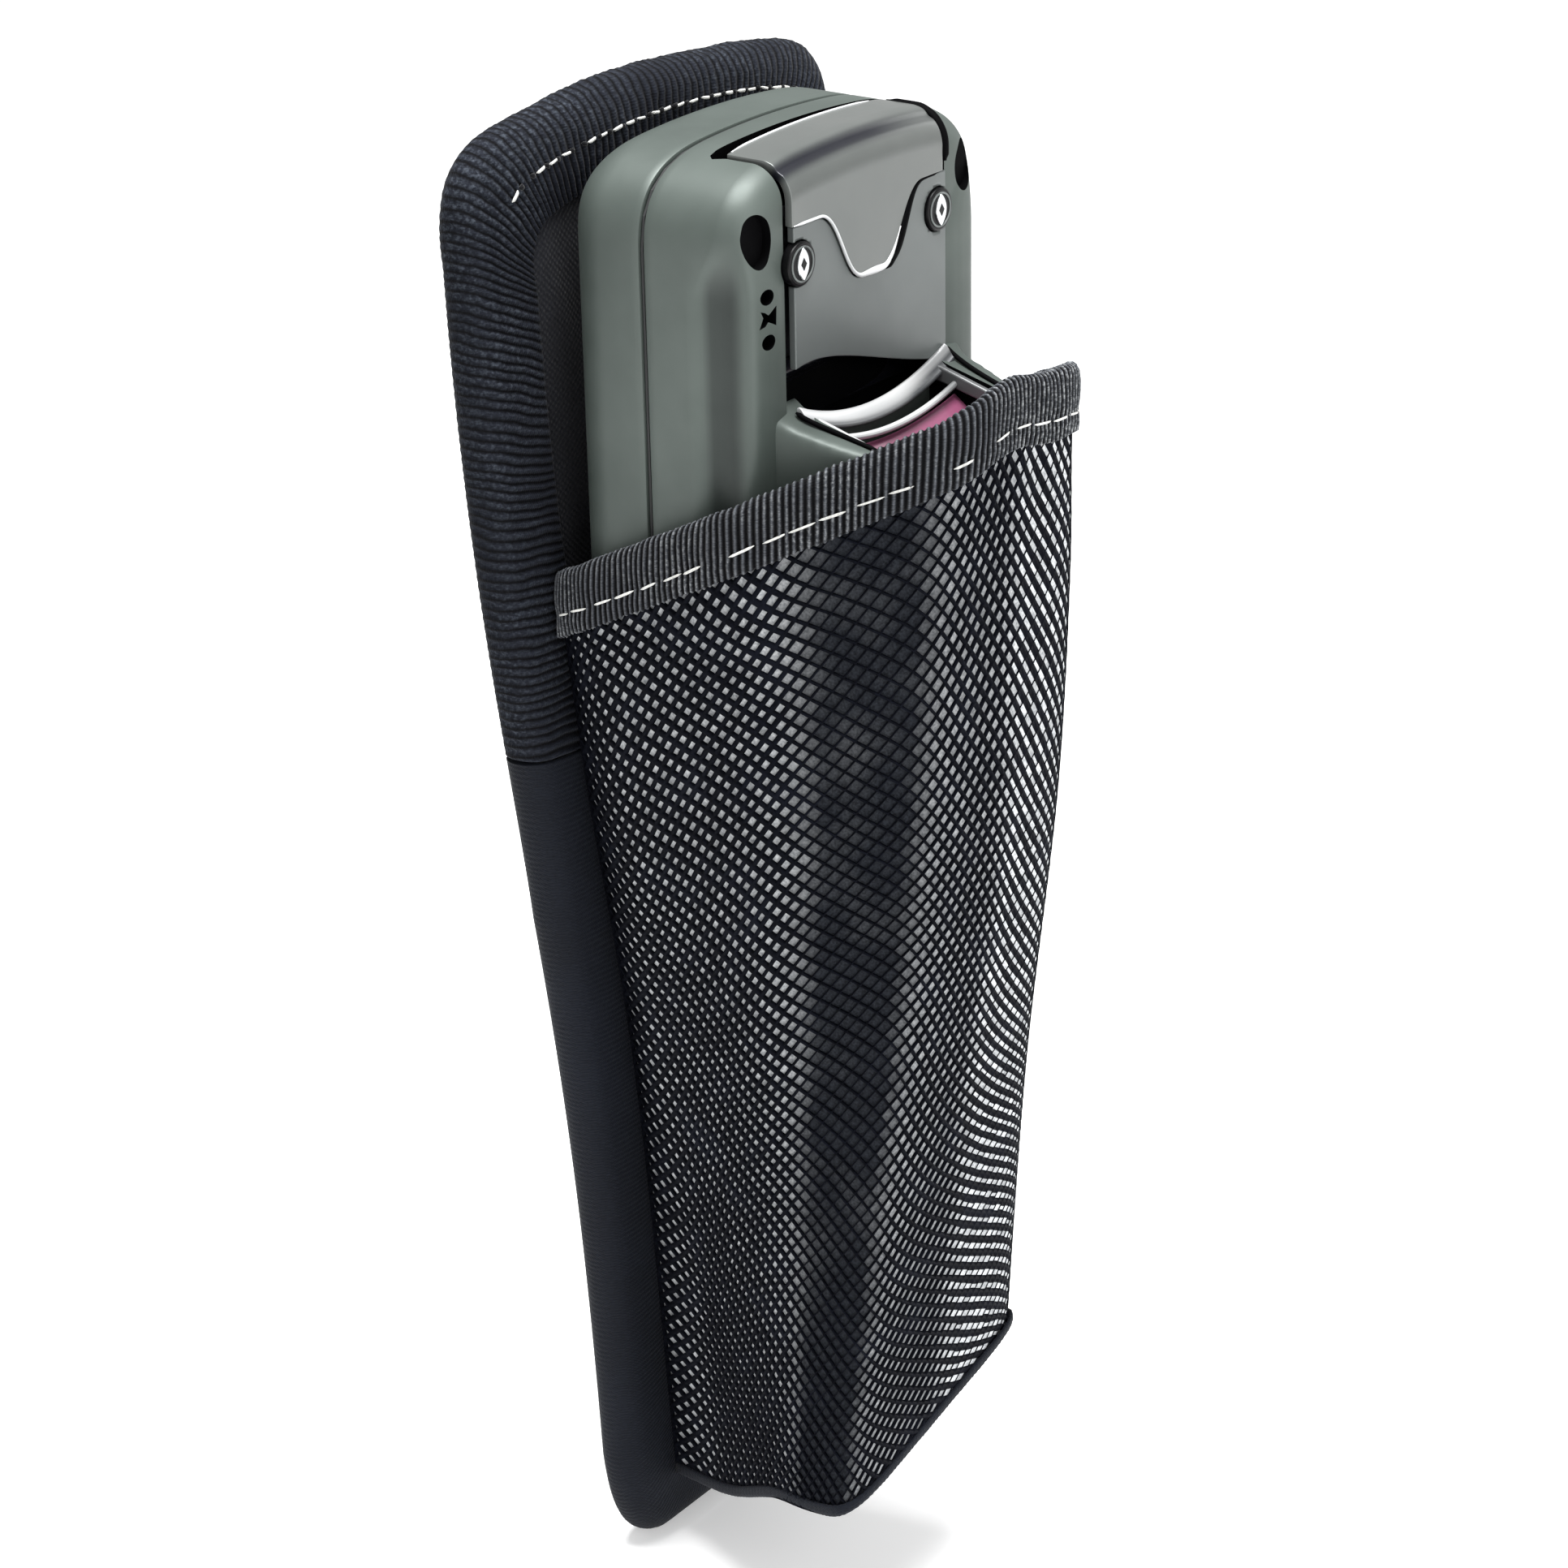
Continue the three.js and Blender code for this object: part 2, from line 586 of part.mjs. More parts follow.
function buildScanner(group) {
  const root = BODY.backY - GAP;
  const nose = HOOD.noseY;
  const side = profileX([[root, 25], [nose + 2, 20.5], [nose, 17], [nose, -18], [-72, -36], [root, -46]], 32);
  const plan = new THREE.Shape();
  plan.moveTo(-HOOD.rootHalfWidth, root);
  plan.lineTo(-HOOD.rootHalfWidth, root - 3);
  plan.quadraticCurveTo(-HOOD.noseHalfWidth - 2, nose, -HOOD.noseHalfWidth + 3, nose);
  plan.lineTo(HOOD.noseHalfWidth - 3, nose);
  plan.quadraticCurveTo(HOOD.noseHalfWidth + 2, nose, HOOD.rootHalfWidth, root - 3);
  plan.lineTo(HOOD.rootHalfWidth, root);
  const tower = new THREE.ExtrudeGeometry(plan, { depth: 90, bevelEnabled: false, curveSegments: 6 });
  const half = HOOD.portHalfWidth;
  const port = box([-half, half], [nose + 2.5, root - 2.2], [2, 40]);
  const engineRoom = box([-13, 13], [nose + 3, root - 2.5], [-30, 3]);
  const scoopMouth = box([-half, half], [-63, -50], [19.8, 40]);
  const hood = cut(common(side, tower.translate(0, 0, -55)), [port, engineRoom, scoopMouth]);
  add(group, 'scan_hood', hood, plastic(COLOR.case, 0.35));

  // Bright frame at the top of the port: an arched bar and two thinner steps below it.
  const arched = (top, height, sag) => {
    const shape = new THREE.Shape();
    const reach = half - GAP;
    shape.moveTo(-reach, top);
    shape.quadraticCurveTo(0, top - 2 * sag, reach, top);
    shape.lineTo(reach, top - height);
    shape.quadraticCurveTo(0, top - height - 2 * sag, -reach, top - height);
    return shape;
  };
  const cheekDepth = [-69, -61.8];
  const cheekHeight = [16.5, 21];
  const cheeks = [
    box([GAP - half, CHEEK - half], cheekDepth, cheekHeight),
    box([half - CHEEK, half - GAP], cheekDepth, cheekHeight),
  ];
  const frame = join([
    slab(arched(24.5, 3.8, 1.8), -61.8, -64.2),
    slab(arched(21.8, 1.6, 1.8), -65.8, -66.8),
    slab(arched(19.6, 1.2, 1.8), -68, -69),
    ...cheeks,
  ]);
  add(group, 'scan_bezel', frame, metal(COLOR.silver, 0.18));

  const pane = profileX([[-62.2, 12.2], [-62.2, 10.7], [nose + 3, 5.5], [nose + 3, 7]], half - GAP);
  add(group, 'scan_window', pane, plastic(COLOR.window, 0.1));
  add(group, 'scan_engine', box([-11, 11], [nose + 4, root - 3.5], [-28, 0]), plastic(COLOR.rubber, 0.5));
  const liner = scoopBlock(GAP, SCOOP.floorY - GAP, SCOOP.floorY - SCOOP.linerThickness);
  add(group, 'scoop_liner', liner, plastic(COLOR.rubber, 0.2));
}

// ---------------------------------------------------------------- computer: inside

function buildInside(group) {
  const parts = [
    ['display_module', box([-27, 27], [-23, -18.2], [5, 62]), plastic(0x2a2f33, 0.4)],
    ['keypad_membrane', box([-19, 19], [-19, -17.9], [-88, -4]), plastic(COLOR.rubber, 0.9)],
    ['main_board', box([-22.5, 22.5], [-28.6, -27], [-86, 62]), plastic(COLOR.circuit, 0.5)],
    ['battery_pack', box([-22, 22], [-54, -42], [33, 66]), plastic(COLOR.battery, 0.5)],
    ['antenna_board', box([-18, 18], [-26, -24.8], [63, 70]), plastic(COLOR.circuit, 0.5)],
    ['dock_connector', box([-12, 12], [-33, -24], [-99.6, -92]), plastic(COLOR.rubber, 0.5)],
    ['speaker', barY(5, -PORT.x, PORT.z, -47, -51.5, 20), metal(0x777a7c, 0.4)],
  ];
  for (const [name, geometry, material] of parts) {
    add(group, name, geometry, material);
  }
}

buildPanel(scene.holster);
buildBeltLoop(scene.holster);
buildPouch(scene.holster);
buildCase(scene.computer);
buildDoor(scene.computer);
buildScanner(scene.computer);
buildInside(scene.computer);

const group = new THREE.Group();
group.add(scene.holster, scene.computer);
scene.computer.position.set(0, COMPUTER_AT.y, COMPUTER_AT.z);
group.position.y = -(COVER_Y + LOOP.slotDepth + LOOP.thickness);

export default group;
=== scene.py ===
import math

import bmesh
import bpy
import numpy as np
from mathutils import Matrix, Vector


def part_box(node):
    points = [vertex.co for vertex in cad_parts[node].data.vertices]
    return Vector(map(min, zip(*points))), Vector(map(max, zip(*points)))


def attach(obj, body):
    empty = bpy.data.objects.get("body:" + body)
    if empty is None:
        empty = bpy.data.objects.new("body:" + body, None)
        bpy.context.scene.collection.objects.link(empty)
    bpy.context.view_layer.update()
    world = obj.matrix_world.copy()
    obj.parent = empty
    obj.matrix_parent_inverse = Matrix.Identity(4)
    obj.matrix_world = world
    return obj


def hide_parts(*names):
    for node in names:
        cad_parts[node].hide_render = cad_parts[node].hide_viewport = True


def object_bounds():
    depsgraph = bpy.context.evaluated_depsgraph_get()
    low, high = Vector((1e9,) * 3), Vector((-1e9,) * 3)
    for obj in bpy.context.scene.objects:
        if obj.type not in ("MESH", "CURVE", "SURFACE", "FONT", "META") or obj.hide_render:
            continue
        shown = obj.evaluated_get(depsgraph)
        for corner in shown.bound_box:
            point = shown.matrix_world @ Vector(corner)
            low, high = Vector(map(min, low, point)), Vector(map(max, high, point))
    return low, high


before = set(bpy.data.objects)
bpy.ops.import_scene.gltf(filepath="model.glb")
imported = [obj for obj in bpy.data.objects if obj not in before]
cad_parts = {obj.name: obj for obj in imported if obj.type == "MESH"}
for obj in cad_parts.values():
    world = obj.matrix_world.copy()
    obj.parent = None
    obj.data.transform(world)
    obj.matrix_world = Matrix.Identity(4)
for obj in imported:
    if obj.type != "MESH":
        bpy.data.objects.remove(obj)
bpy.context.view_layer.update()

# A rugged handheld computer in its belt holster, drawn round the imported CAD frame.
# Lengths in this file are millimetres until mesh() turns them into metres.

MM = 0.001


def span(node):
    """Lowest and highest corner of a CAD node, in millimetres."""
    low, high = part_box(node)
    return np.array(low) / MM, np.array(high) / MM


# Where the CAD's own zero of the holster and of the computer's case lie in the frame.
HOLSTER = np.array([0.0, span("back_cover")[1][1] + 4.0, 0.0])
CASE = np.array([0.0, span("rear_housing")[0][1] + 59.0, span("rear_housing")[1][2] - 76.0])


def seat_of(node):
    """Middle and size of a CAD node in X and Z, in the case's millimetres."""
    low, high = span(node)
    return ((low + high) / 2)[[0, 2]] - CASE[[0, 2]], (high - low)[[0, 2]]


# ------------------------------------------------------------------ mesh helpers

def grid_faces(rows, columns, start=0, wrap=False, flip=False):
    """Quads of a grid of points stored row by row."""
    r, c = np.meshgrid(np.arange(rows - 1), np.arange(columns if wrap else columns - 1), indexing="ij")
    r, c = r.ravel(), c.ravel()
    n = (c + 1) % columns
    quads = np.stack([r * columns + c, r * columns + n, (r + 1) * columns + n, (r + 1) * columns + c], 1)
    return (quads[:, ::-1] if flip else quads) + start


def tube_faces(rows, sides, start=0):
    """Faces of a row of rings of points, closed at both ends."""
    ends = [list(range(start, start + sides)), list(range(start + (rows - 1) * sides, start + rows * sides))]
    return [tuple(f) for f in grid_faces(rows, sides, start, wrap=True)] + ends


def mesh(name, points, faces, at, uv=None, sharp=40):
    """A mesh object from points in millimetres; uv gives each point its own place in the pattern."""
    data = bpy.data.meshes.new(name)
    points = (np.asarray(points, float).reshape(-1, 3) + np.array(at)) * MM
    faces = [tuple(int(i) for i in f) for f in faces]
    data.from_pydata(points.tolist(), [], faces)
    data.update()
    if uv is not None:
        layer = data.uv_layers.new(name="UVMap")
        loops = np.zeros(len(data.loops), np.int32)
        data.loops.foreach_get("vertex_index", loops)
        layer.data.foreach_set("uv", np.asarray(uv, float).reshape(-1, 2)[loops].astype(np.float32).ravel())
    o = bpy.data.objects.new(name, data)
    bpy.context.scene.collection.objects.link(o)
    outward(o)
    smooth(o, sharp)
    return o


def tube(name, rings, at, uv=None, sharp=180):
    """A solid from an array of rings of points: (rings, points in a ring, 3)."""
    return mesh(name, rings, tube_faces(*rings.shape[:2]), at, uv, sharp)


def outward(o):
    b = bmesh.new()
    b.from_mesh(o.data)
    bmesh.ops.recalc_face_normals(b, faces=b.faces)
    b.to_mesh(o.data)
    b.free()


def smooth(o, sharp):
    o.data.polygons.foreach_set("use_smooth", [True] * len(o.data.polygons))
    if sharp < 180:
        o.data.set_sharp_from_angle(angle=math.radians(sharp))
    o.data.update()


def settle(o):
    """Turns the modifiers of o into its mesh."""
    dg = bpy.context.evaluated_depsgraph_get()
    data = bpy.data.meshes.new_from_object(o.evaluated_get(dg), depsgraph=dg)
    o.modifiers.clear()
    old = o.data
    o.data = data
    bpy.data.meshes.remove(old)
    return o


def cut(o, cutters, how="DIFFERENCE"):
    for tool in cutters:
        m = o.modifiers.new("cut", "BOOLEAN")
        m.operation = how
        m.solver = "MANIFOLD"
        m.object = tool
    settle(o)
    for tool in cutters:
        bpy.data.objects.remove(tool)
    return o


def remesh(o, voxel):
    m = o.modifiers.new("remesh", "REMESH")
    m.mode = "VOXEL"
    m.voxel_size = voxel * MM


def soften(o, voxel, rounds):
    """Remeshes o and smooths it, which rounds its edges."""
    remesh(o, voxel)
    m = o.modifiers.new("relax", "SMOOTH")
    m.factor, m.iterations = 0.5, rounds
    return settle(o)


def bevel(o, width, segments=3, angle=35):
    m = o.modifiers.new("edge", "BEVEL")
    m.width = width * MM
    m.segments = segments
    m.limit_method = "ANGLE"
    m.angle_limit = math.radians(angle)
    return settle(o)


def prism(name, outline, y0, y1, at, black=False):
    """An outline in X and Z given thickness from y0 to y1."""
    outline = np.asarray(outline, float)
    rings = np.array([[(x, y, z) for x, z in outline] for y in (y0, y1)])
    o = tube(name, rings, at, sharp=40)
    return blacken(o) if black else o


def two_slots(o):
    """Room for a piece's own finish and for the black of its openings, which is painted shade."""
    for kind in ("case", "gap"):
        o.data.materials.append(FINISH[kind])
    return o


def blacken(o):
    """A cutter whose cut faces come out black, painted shade in what it cuts."""
    two_slots(o).data.polygons.foreach_set("material_index", np.ones(len(o.data.polygons), np.int32))
    return o


def circle(x, z, radius, sides=64):
    t = np.linspace(0, -2 * np.pi, sides, endpoint=False)
    return np.column_stack([x + radius * np.cos(t), z + radius * np.sin(t)])


def rounded(width, height, radius, x=0.0, z=0.0):
    """A rounded rectangle, clockwise."""
    out = []
    w, h = width / 2 - radius, height / 2 - radius
    for sx, sz, start in ((1, 1, 90), (1, -1, 0), (-1, -1, -90), (-1, 1, -180)):
        t = np.radians(np.linspace(start, start - 90, 8))
        out.append(np.column_stack([x + sx * w + radius * np.cos(t), z + sz * h + radius * np.sin(t)]))
    return np.concatenate(out)


def bezier(points, steps):
    """A line through two points, or a curve that the points between its ends pull towards them."""
    p, last = np.array(points, float), len(points) - 1
    t = np.linspace(0, 1, steps)[:, None]
    return sum(math.comb(last, k) * (1 - t) ** (last - k) * t ** k * p[k] for k in range(last + 1))


def chain(parts):
    return np.concatenate([parts[0]] + [p[1:] for p in parts[1:]])


def mirrored(half):
    """A closed outline from its right half."""
    return np.concatenate([half, (half * [-1, 1])[::-1][1:-1]])


def lengths(line):
    """Distance along the line to each of its points."""
    return np.concatenate([[0], np.cumsum(np.linalg.norm(np.diff(line, axis=0), axis=1))])


def sample(values, s, at):
    """The values known at distances s, read at other distances."""
    return np.column_stack([np.interp(at, s, values[:, k]) for k in range(values.shape[1])])


def resample(line, count):
    s = lengths(line)
    return sample(line, s, np.linspace(0, s[-1], count))


def unit(vectors):
    return vectors / np.linalg.norm(vectors, axis=-1)[..., None]


def direction(line):
    return unit(np.gradient(line, axis=0))


def blurred(padded, reach, spread):
    """A line smoothed by a bell of the given spread; padded has reach points more at each end."""
    kernel = np.exp(-0.5 * (np.arange(-reach, reach + 1) / spread) ** 2)
    kernel /= kernel.sum()
    return np.column_stack([np.convolve(padded[:, k], kernel, "valid") for k in (0, 1)])


def ease(x, low, high):
    """0 up to low, 1 from high on, and a smooth rise between them."""
    t = np.clip((np.asarray(x, float) - low) / (high - low), 0, 1)
    return t * t * (3 - 2 * t)


def band(x, rise, risen, fall, fallen):
    """1 from risen to fall, easing to 0 at rise and at fallen."""
    return ease(x, rise, risen) * (1 - ease(x, fall, fallen))


def wobble(s, seed, size, waves=((0.05, 1.0), (0.13, 0.6), (0.31, 0.35), (0.77, 0.2))):
    """A smooth random line along s."""
    r = np.random.default_rng(seed)
    out = np.zeros_like(s, dtype=float)
    for rate, share in waves:
        out += share * np.sin(s * rate * r.uniform(0.8, 1.25) + r.uniform(0, 6.283))
    return out * size


def coons(top, right, bottom, left):
    """Fills four edges with a grid. top and bottom run left to right, left and right run top to bottom."""
    n, m = len(top), len(left)
    u = np.linspace(0, 1, n)[None, :, None]
    v = np.linspace(0, 1, m)[:, None, None]
    ruled_v = (1 - v) * top[None] + v * bottom[None]
    ruled_u = (1 - u) * left[:, None] + u * right[:, None]
    upper_corners = (1 - u) * (1 - v) * top[0] + u * (1 - v) * top[-1]
    lower_corners = (1 - u) * v * bottom[0] + u * v * bottom[-1]
    return ruled_u + ruled_v - (upper_corners + lower_corners)


# ------------------------------------------------------------------ materials

class Graph:
    """Short names for the shader nodes that the finishes are made of."""

    def __init__(self, name, roughness=0.5, **constants):
        self.material = bpy.data.materials.new(name)
        self.material.use_nodes = True
        self.nt = self.material.node_tree
        self.shader = self.nt.nodes["Principled BSDF"]
        self.shader.inputs["Roughness"].default_value = roughness
        for key, value in constants.items():
            self.shader.inputs[key.replace("_", " ").title()].default_value = value

    def node(self, kind, values=None, **settings):
        n = self.nt.nodes.new("ShaderNode" + kind)
        for key, value in settings.items():
            setattr(n, key, value)
        for key, value in (values or {}).items():
            self.put(n.inputs[key], value)
        return n

    def put(self, socket, value):
        if isinstance(value, bpy.types.NodeSocket):
            self.nt.links.new(value, socket)
        else:
            socket.default_value = value

    def coordinate(self, kind="Object"):
        return self.node("TexCoord").outputs[kind]

    def split(self, vector):
        return tuple(self.node("SeparateXYZ", {0: vector}).outputs)[:3]

    def attribute(self, name):
        return self.node("Attribute", attribute_name=name).outputs["Fac"]

    def math(self, operation, a, b=0.0, clamp=False):
        return self.node("Math", {0: a, 1: b}, operation=operation, use_clamp=clamp).outputs[0]

    def noise(self, scale, detail=3.0, stretch=None):
        vector = self.coordinate()
        if stretch:
            vector = self.node("Mapping", {"Vector": vector, "Scale": stretch}).outputs[0]
        return self.node("TexNoise", {"Vector": vector, "Scale": scale, "Detail": detail}).outputs["Fac"]

    def remap(self, value, low, high, new_low=0.0, new_high=1.0):
        return self.node("MapRange", {0: value, 1: low, 2: high, 3: new_low, 4: new_high}).outputs[0]

    def mix(self, share, a, b):
        n = self.node("Mix", data_type="RGBA")
        self.put(n.inputs[0], share)
        self.put(n.inputs[6], a)
        self.put(n.inputs[7], b)
        return n.outputs[2]

    def bump(self, height, strength, distance):
        return self.node("Bump", {"Height": height, "Strength": strength, "Distance": distance}).outputs[0]

    def set(self, name, value):
        self.put(self.shader.inputs[name], value)


def colour(display):
    """A display colour, 0 to 255, as the shader wants it."""
    return (*(((c / 255 + 0.055) / 1.055) ** 2.4 if c > 10 else c / 255 / 12.92 for c in display), 1.0)


def moulded(name, dark, light, roughness, metallic, coat=0.0, grain=0.25, specular=0.5, shaded=None):
    """Painted or moulded plastic: faint cloudiness, a fine grain, small scuffs in the roughness, and painted
    shade where shaded is given.
    """
    g = Graph(name, roughness, metallic=metallic, coat_weight=coat, coat_roughness=0.2)
    g.set("Specular IOR Level", specular)
    cloud = g.noise(38, 4)
    fine = g.noise(2600, 2)
    tone = g.mix(g.remap(cloud, 0.3, 0.7), colour(dark), colour(light))
    if shaded:
        # painted shade: leans towards the shaded colour as far as the stored attribute says
        tone = g.mix(g.attribute("deep"), tone, colour(shaded))
    g.set("Base Color", tone)
    wear = g.noise(170, 4)
    g.set("Roughness", g.remap(wear, 0.35, 0.75, roughness - 0.02, roughness + 0.05))
    g.set("Normal", g.bump(fine, grain, 0.00003))
    return g.material


def cloth(name, dark, light, scale, roughness, sheen, bump, depth=0.0002):
    """Plain woven or brushed cloth: crossed threads, lint and broad fading."""
    g = Graph(name, roughness, sheen_weight=sheen, sheen_roughness=0.45)
    g.set("Specular IOR Level", 0.12)
    x, y, z = g.split(g.coordinate())
    warp = g.math("SINE", g.math("MULTIPLY", g.math("ADD", x, y), scale * 6.283))
    weft = g.math("SINE", g.math("MULTIPLY", z, scale * 6.283))
    weave = g.math("MULTIPLY", warp, weft)
    lint = g.noise(1500, 3)
    fade = g.noise(24, 4)
    tone = g.math("ADD", g.math("MULTIPLY", fade, 0.6), g.math("MULTIPLY", lint, 0.4))
    g.set("Base Color", g.mix(g.remap(tone, 0.36, 0.64), colour(dark), colour(light)))
    height = g.math("ADD", g.math("MULTIPLY", weave, 0.25), g.math("MULTIPLY", lint, 0.8))
    g.set("Normal", g.bump(height, bump, depth))
    return g.material


def tape(name, groove, rib, rib_top, pitch, fuzz, keen=1.0):
    """Grosgrain tape: ribs that run across it, thread flecks along them, lighter flecks on their tops, painted
    shade in the grooves. UV is in metres.
    """
    groove, rib, rib_top = colour(groove), colour(rib), colour(rib_top)
    g = Graph(name, 0.85, sheen_weight=0.03, sheen_roughness=0.4)
    g.set("Specular IOR Level", 0.1)
    s, t, _ = g.split(g.coordinate("UV"))
    wander = g.math("MULTIPLY", g.math("SUBTRACT", g.noise(180, 3), 0.5), fuzz)
    phase = g.math("ADD", g.math("MULTIPLY", s, 6.2832 / pitch), wander)
    wave = g.remap(g.math("SINE", phase), -1, 1)
    ridge = g.math("POWER", wave, keen)
    fleck = g.noise(1300, 3)
    threads = g.noise(900, 2, stretch=(1, 1, 6))
    patch = g.remap(g.noise(34, 4), 0.38, 0.62)
    tone = g.mix(ridge, groove, rib)
    high_spots = g.math("MULTIPLY", g.math("MULTIPLY", ridge, g.remap(fleck, 0.45, 0.66)), patch)
    tone = g.mix(high_spots, tone, rib_top)
    g.set("Base Color", g.mix(g.remap(threads, 0.42, 0.6, 0, 0.45), tone, groove))
    thread = g.math("SINE", g.math("MULTIPLY", t, 6.2832 / 0.0006))
    height = g.math("ADD", wave, g.math("MULTIPLY", thread, 0.08))
    height = g.math("ADD", height, g.math("MULTIPLY", fleck, 0.6))
    g.set("Normal", g.bump(height, 0.6, 0.0004))
    return g.material


def net_cell():
    """The cloth seen in the net's holes, grey with painted light on it; an attribute says how much painted
    light each point gets.
    """
    g = Graph("net_cloth", 0.8)
    g.set("Specular IOR Level", 0.12)
    weave = g.noise(1900, 2)
    side = g.math("ADD", g.attribute("painted_light"),
                  g.math("MULTIPLY", g.math("SUBTRACT", g.noise(55, 3), 0.5), 0.25), clamp=True)
    dull = g.mix(g.remap(weave, 0.3, 0.7), colour((15, 17, 22)), colour((37, 40, 46)))
    bright = g.mix(g.remap(weave, 0.3, 0.7), colour((165, 169, 173)), colour((228, 230, 231)))
    g.set("Base Color", g.mix(side, dull, bright))
    g.set("Normal", g.bump(weave, 0.5, 0.0002))
    return g.material


def net_cord():
    """The net's own cords: nearly black, twisted, a little lighter where they rub."""
    g = Graph("net_cord", 0.8)
    g.set("Specular IOR Level", 0.06)
    fibre = g.noise(1300, 3)
    rub = g.noise(90, 4)
    cord = g.mix(g.remap(fibre, 0.35, 0.7), colour((1, 2, 6)), colour((7, 9, 17)))
    g.set("Base Color", g.mix(g.remap(rub, 0.5, 0.8, 0, 0.5), cord, colour((20, 23, 33))))
    g.set("Normal", g.bump(fibre, 0.6, 0.00025))
    return g.material


# Each finish: its darker and its lighter colour, roughness, how metallic it is, then what sets it apart.
FINISH = {
    # case, cap and trim: shaded is the colour of their painted shade
    "case": moulded("case_paint", (66, 74, 70), (78, 86, 82), 0.5, 0.3, shaded=(30, 36, 34)),
    "door": moulded("door_paint", (92, 97, 96), (100, 105, 104), 0.4, 0.3, coat=0.05, grain=0.1),
    "cap": moulded("cap_paint", (94, 98, 96), (104, 107, 105), 0.3, 0.45, coat=0.3, grain=0.08,
                   shaded=(18, 19, 30)),
    # also the colour of the painted highlights along the cap's edges
    "trim": moulded("bright_trim", (200, 202, 203), (216, 217, 217), 0.34, 0.3, grain=0.0,
                    shaded=(66, 68, 70)),
    # gap: black painted shade on cut faces, in gaps and along seams
    "gap": moulded("gap_painted_shade", (1, 1, 2), (5, 5, 6), 0.7, 0.0, grain=0.3, specular=0.04),
    "lock_silver": moulded("lock_silver", (196, 200, 203), (222, 225, 226), 0.2, 0.9, grain=0.1),
    "lock_black": moulded("lock_black", (2, 2, 3), (7, 7, 9), 0.4, 0.0, specular=0.2),
    "black": moulded("moulded_black", (24, 25, 27), (36, 38, 40), 0.5, 0.0, grain=0.5),
    "scoop": moulded("scoop_gloss_and_shade", (8, 9, 13), (19, 20, 26), 0.14, 0.0, coat=0.3, grain=0.6),
    "rubber": moulded("soft_rubber", (22, 23, 24), (34, 35, 36), 0.75, 0.0, grain=0.8),
    "keys": moulded("key_rubber", (46, 51, 52), (62, 67, 68), 0.6, 0.0, grain=0.9),
    "screw": moulded("dark_steel", (22, 22, 24), (38, 38, 41), 0.4, 0.8, grain=0.4),
    "board": moulded("stiff_board", (54, 56, 58), (66, 68, 70), 0.6, 0.0, grain=0.9),
    "circuit": moulded("circuit_board", (20, 78, 48), (34, 98, 62), 0.4, 0.1, coat=0.3),
    "battery": moulded("battery_case", (36, 38, 42), (50, 52, 56), 0.45, 0.0, grain=0.6),
    "can": moulded("speaker_can", (110, 112, 115), (134, 136, 138), 0.35, 0.85),
    "glass": moulded("display_glass", (18, 22, 26), (26, 31, 34), 0.05, 0.0, coat=0.8, grain=0.0),
    "rose": moulded("scan_rose", (104, 54, 76), (134, 74, 102), 0.12, 0.0, coat=0.8, grain=0.05),
    "lining": cloth("lining_brushed", (11, 12, 16), (26, 27, 32), 700, 0.95, 0.08, 0.9, 0.0003),
    "nylon": cloth("nylon_plain", (16, 18, 23), (27, 30, 36), 1100, 0.8, 0.06, 0.5),
    "ribbed": tape("ribbed_tape", (1, 1, 3), (29, 32, 40), (60, 65, 73), 0.0021, 1.4, 0.7),
    "rim": tape("rim_tape", (1, 1, 3), (80, 83, 88), (160, 163, 165), 0.00155, 0.8, 2.4),
    "smooth": cloth("smooth_tape", (8, 11, 18), (17, 21, 30), 1500, 0.75, 0.04, 0.7, 0.0002),
    "webbing": tape("webbing", (12, 13, 16), (38, 41, 46), (58, 61, 66), 0.0016, 0.6),
    "net_cell": net_cell(),
    "net_cord": net_cord(),
    "thread": cloth("white_thread", (176, 176, 172), (226, 226, 222), 2600, 0.7, 0.2, 0.8),
    "dark_thread": cloth("dark_thread", (3, 3, 5), (12, 13, 17), 2600, 0.8, 0.2, 0.8),
}


def paint(o, kind):
    o.data.materials.clear()
    o.data.materials.append(FINISH[kind])
    return o


def place_piece(o, body, slot_name, *nodes):
    """Gives a piece its body and hides the CAD nodes that it stands for; slot_name is not used."""
    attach(o, body)
    if nodes:
        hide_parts(*nodes)
    return o


def finish(o, kinds, body, slot_name, *nodes):
    """Gives a piece its finishes, split by commas, and places it."""
    kinds = kinds.split(",")
    index = np.zeros(len(o.data.polygons), np.int32)
    o.data.polygons.foreach_get("material_index", index)
    o.data.materials.clear()
    for one in kinds:
        o.data.materials.append(FINISH[one])
    o.data.polygons.foreach_set("material_index", np.minimum(index, len(kinds) - 1))
    return place_piece(o, body, slot_name, *nodes)


def join(name, parts):
    """Several objects as one piece, each keeping its own finish."""
    for o in parts:
        o.select_set(True)
    chosen = {"active_object": parts[0], "selected_editable_objects": parts, "selected_objects": parts}
    with bpy.context.temp_override(**chosen):
        bpy.ops.object.join()
    parts[0].name = parts[0].data.name = name
    return parts[0]


def points_of(o):
    points = np.zeros(len(o.data.vertices) * 3)
    o.data.vertices.foreach_get("co", points)
    return points.reshape(-1, 3)


def place_of(o):
    """The points of o as three arrays, in the case's millimetres."""
    return (points_of(o) / MM - CASE).T


def store(o, name, values):
    """Keeps a number for each point of o, for its finish to read."""
    o.data.attributes.new(name, "FLOAT", "POINT").data.foreach_set("value", values.astype(np.float32))


def shade(o, weight):
    """Stores how much painted shade each point of o gets: how far it leans towards its finish's darker colour.
    """
    store(o, "deep", np.clip(weight, 0, 1))
    return o


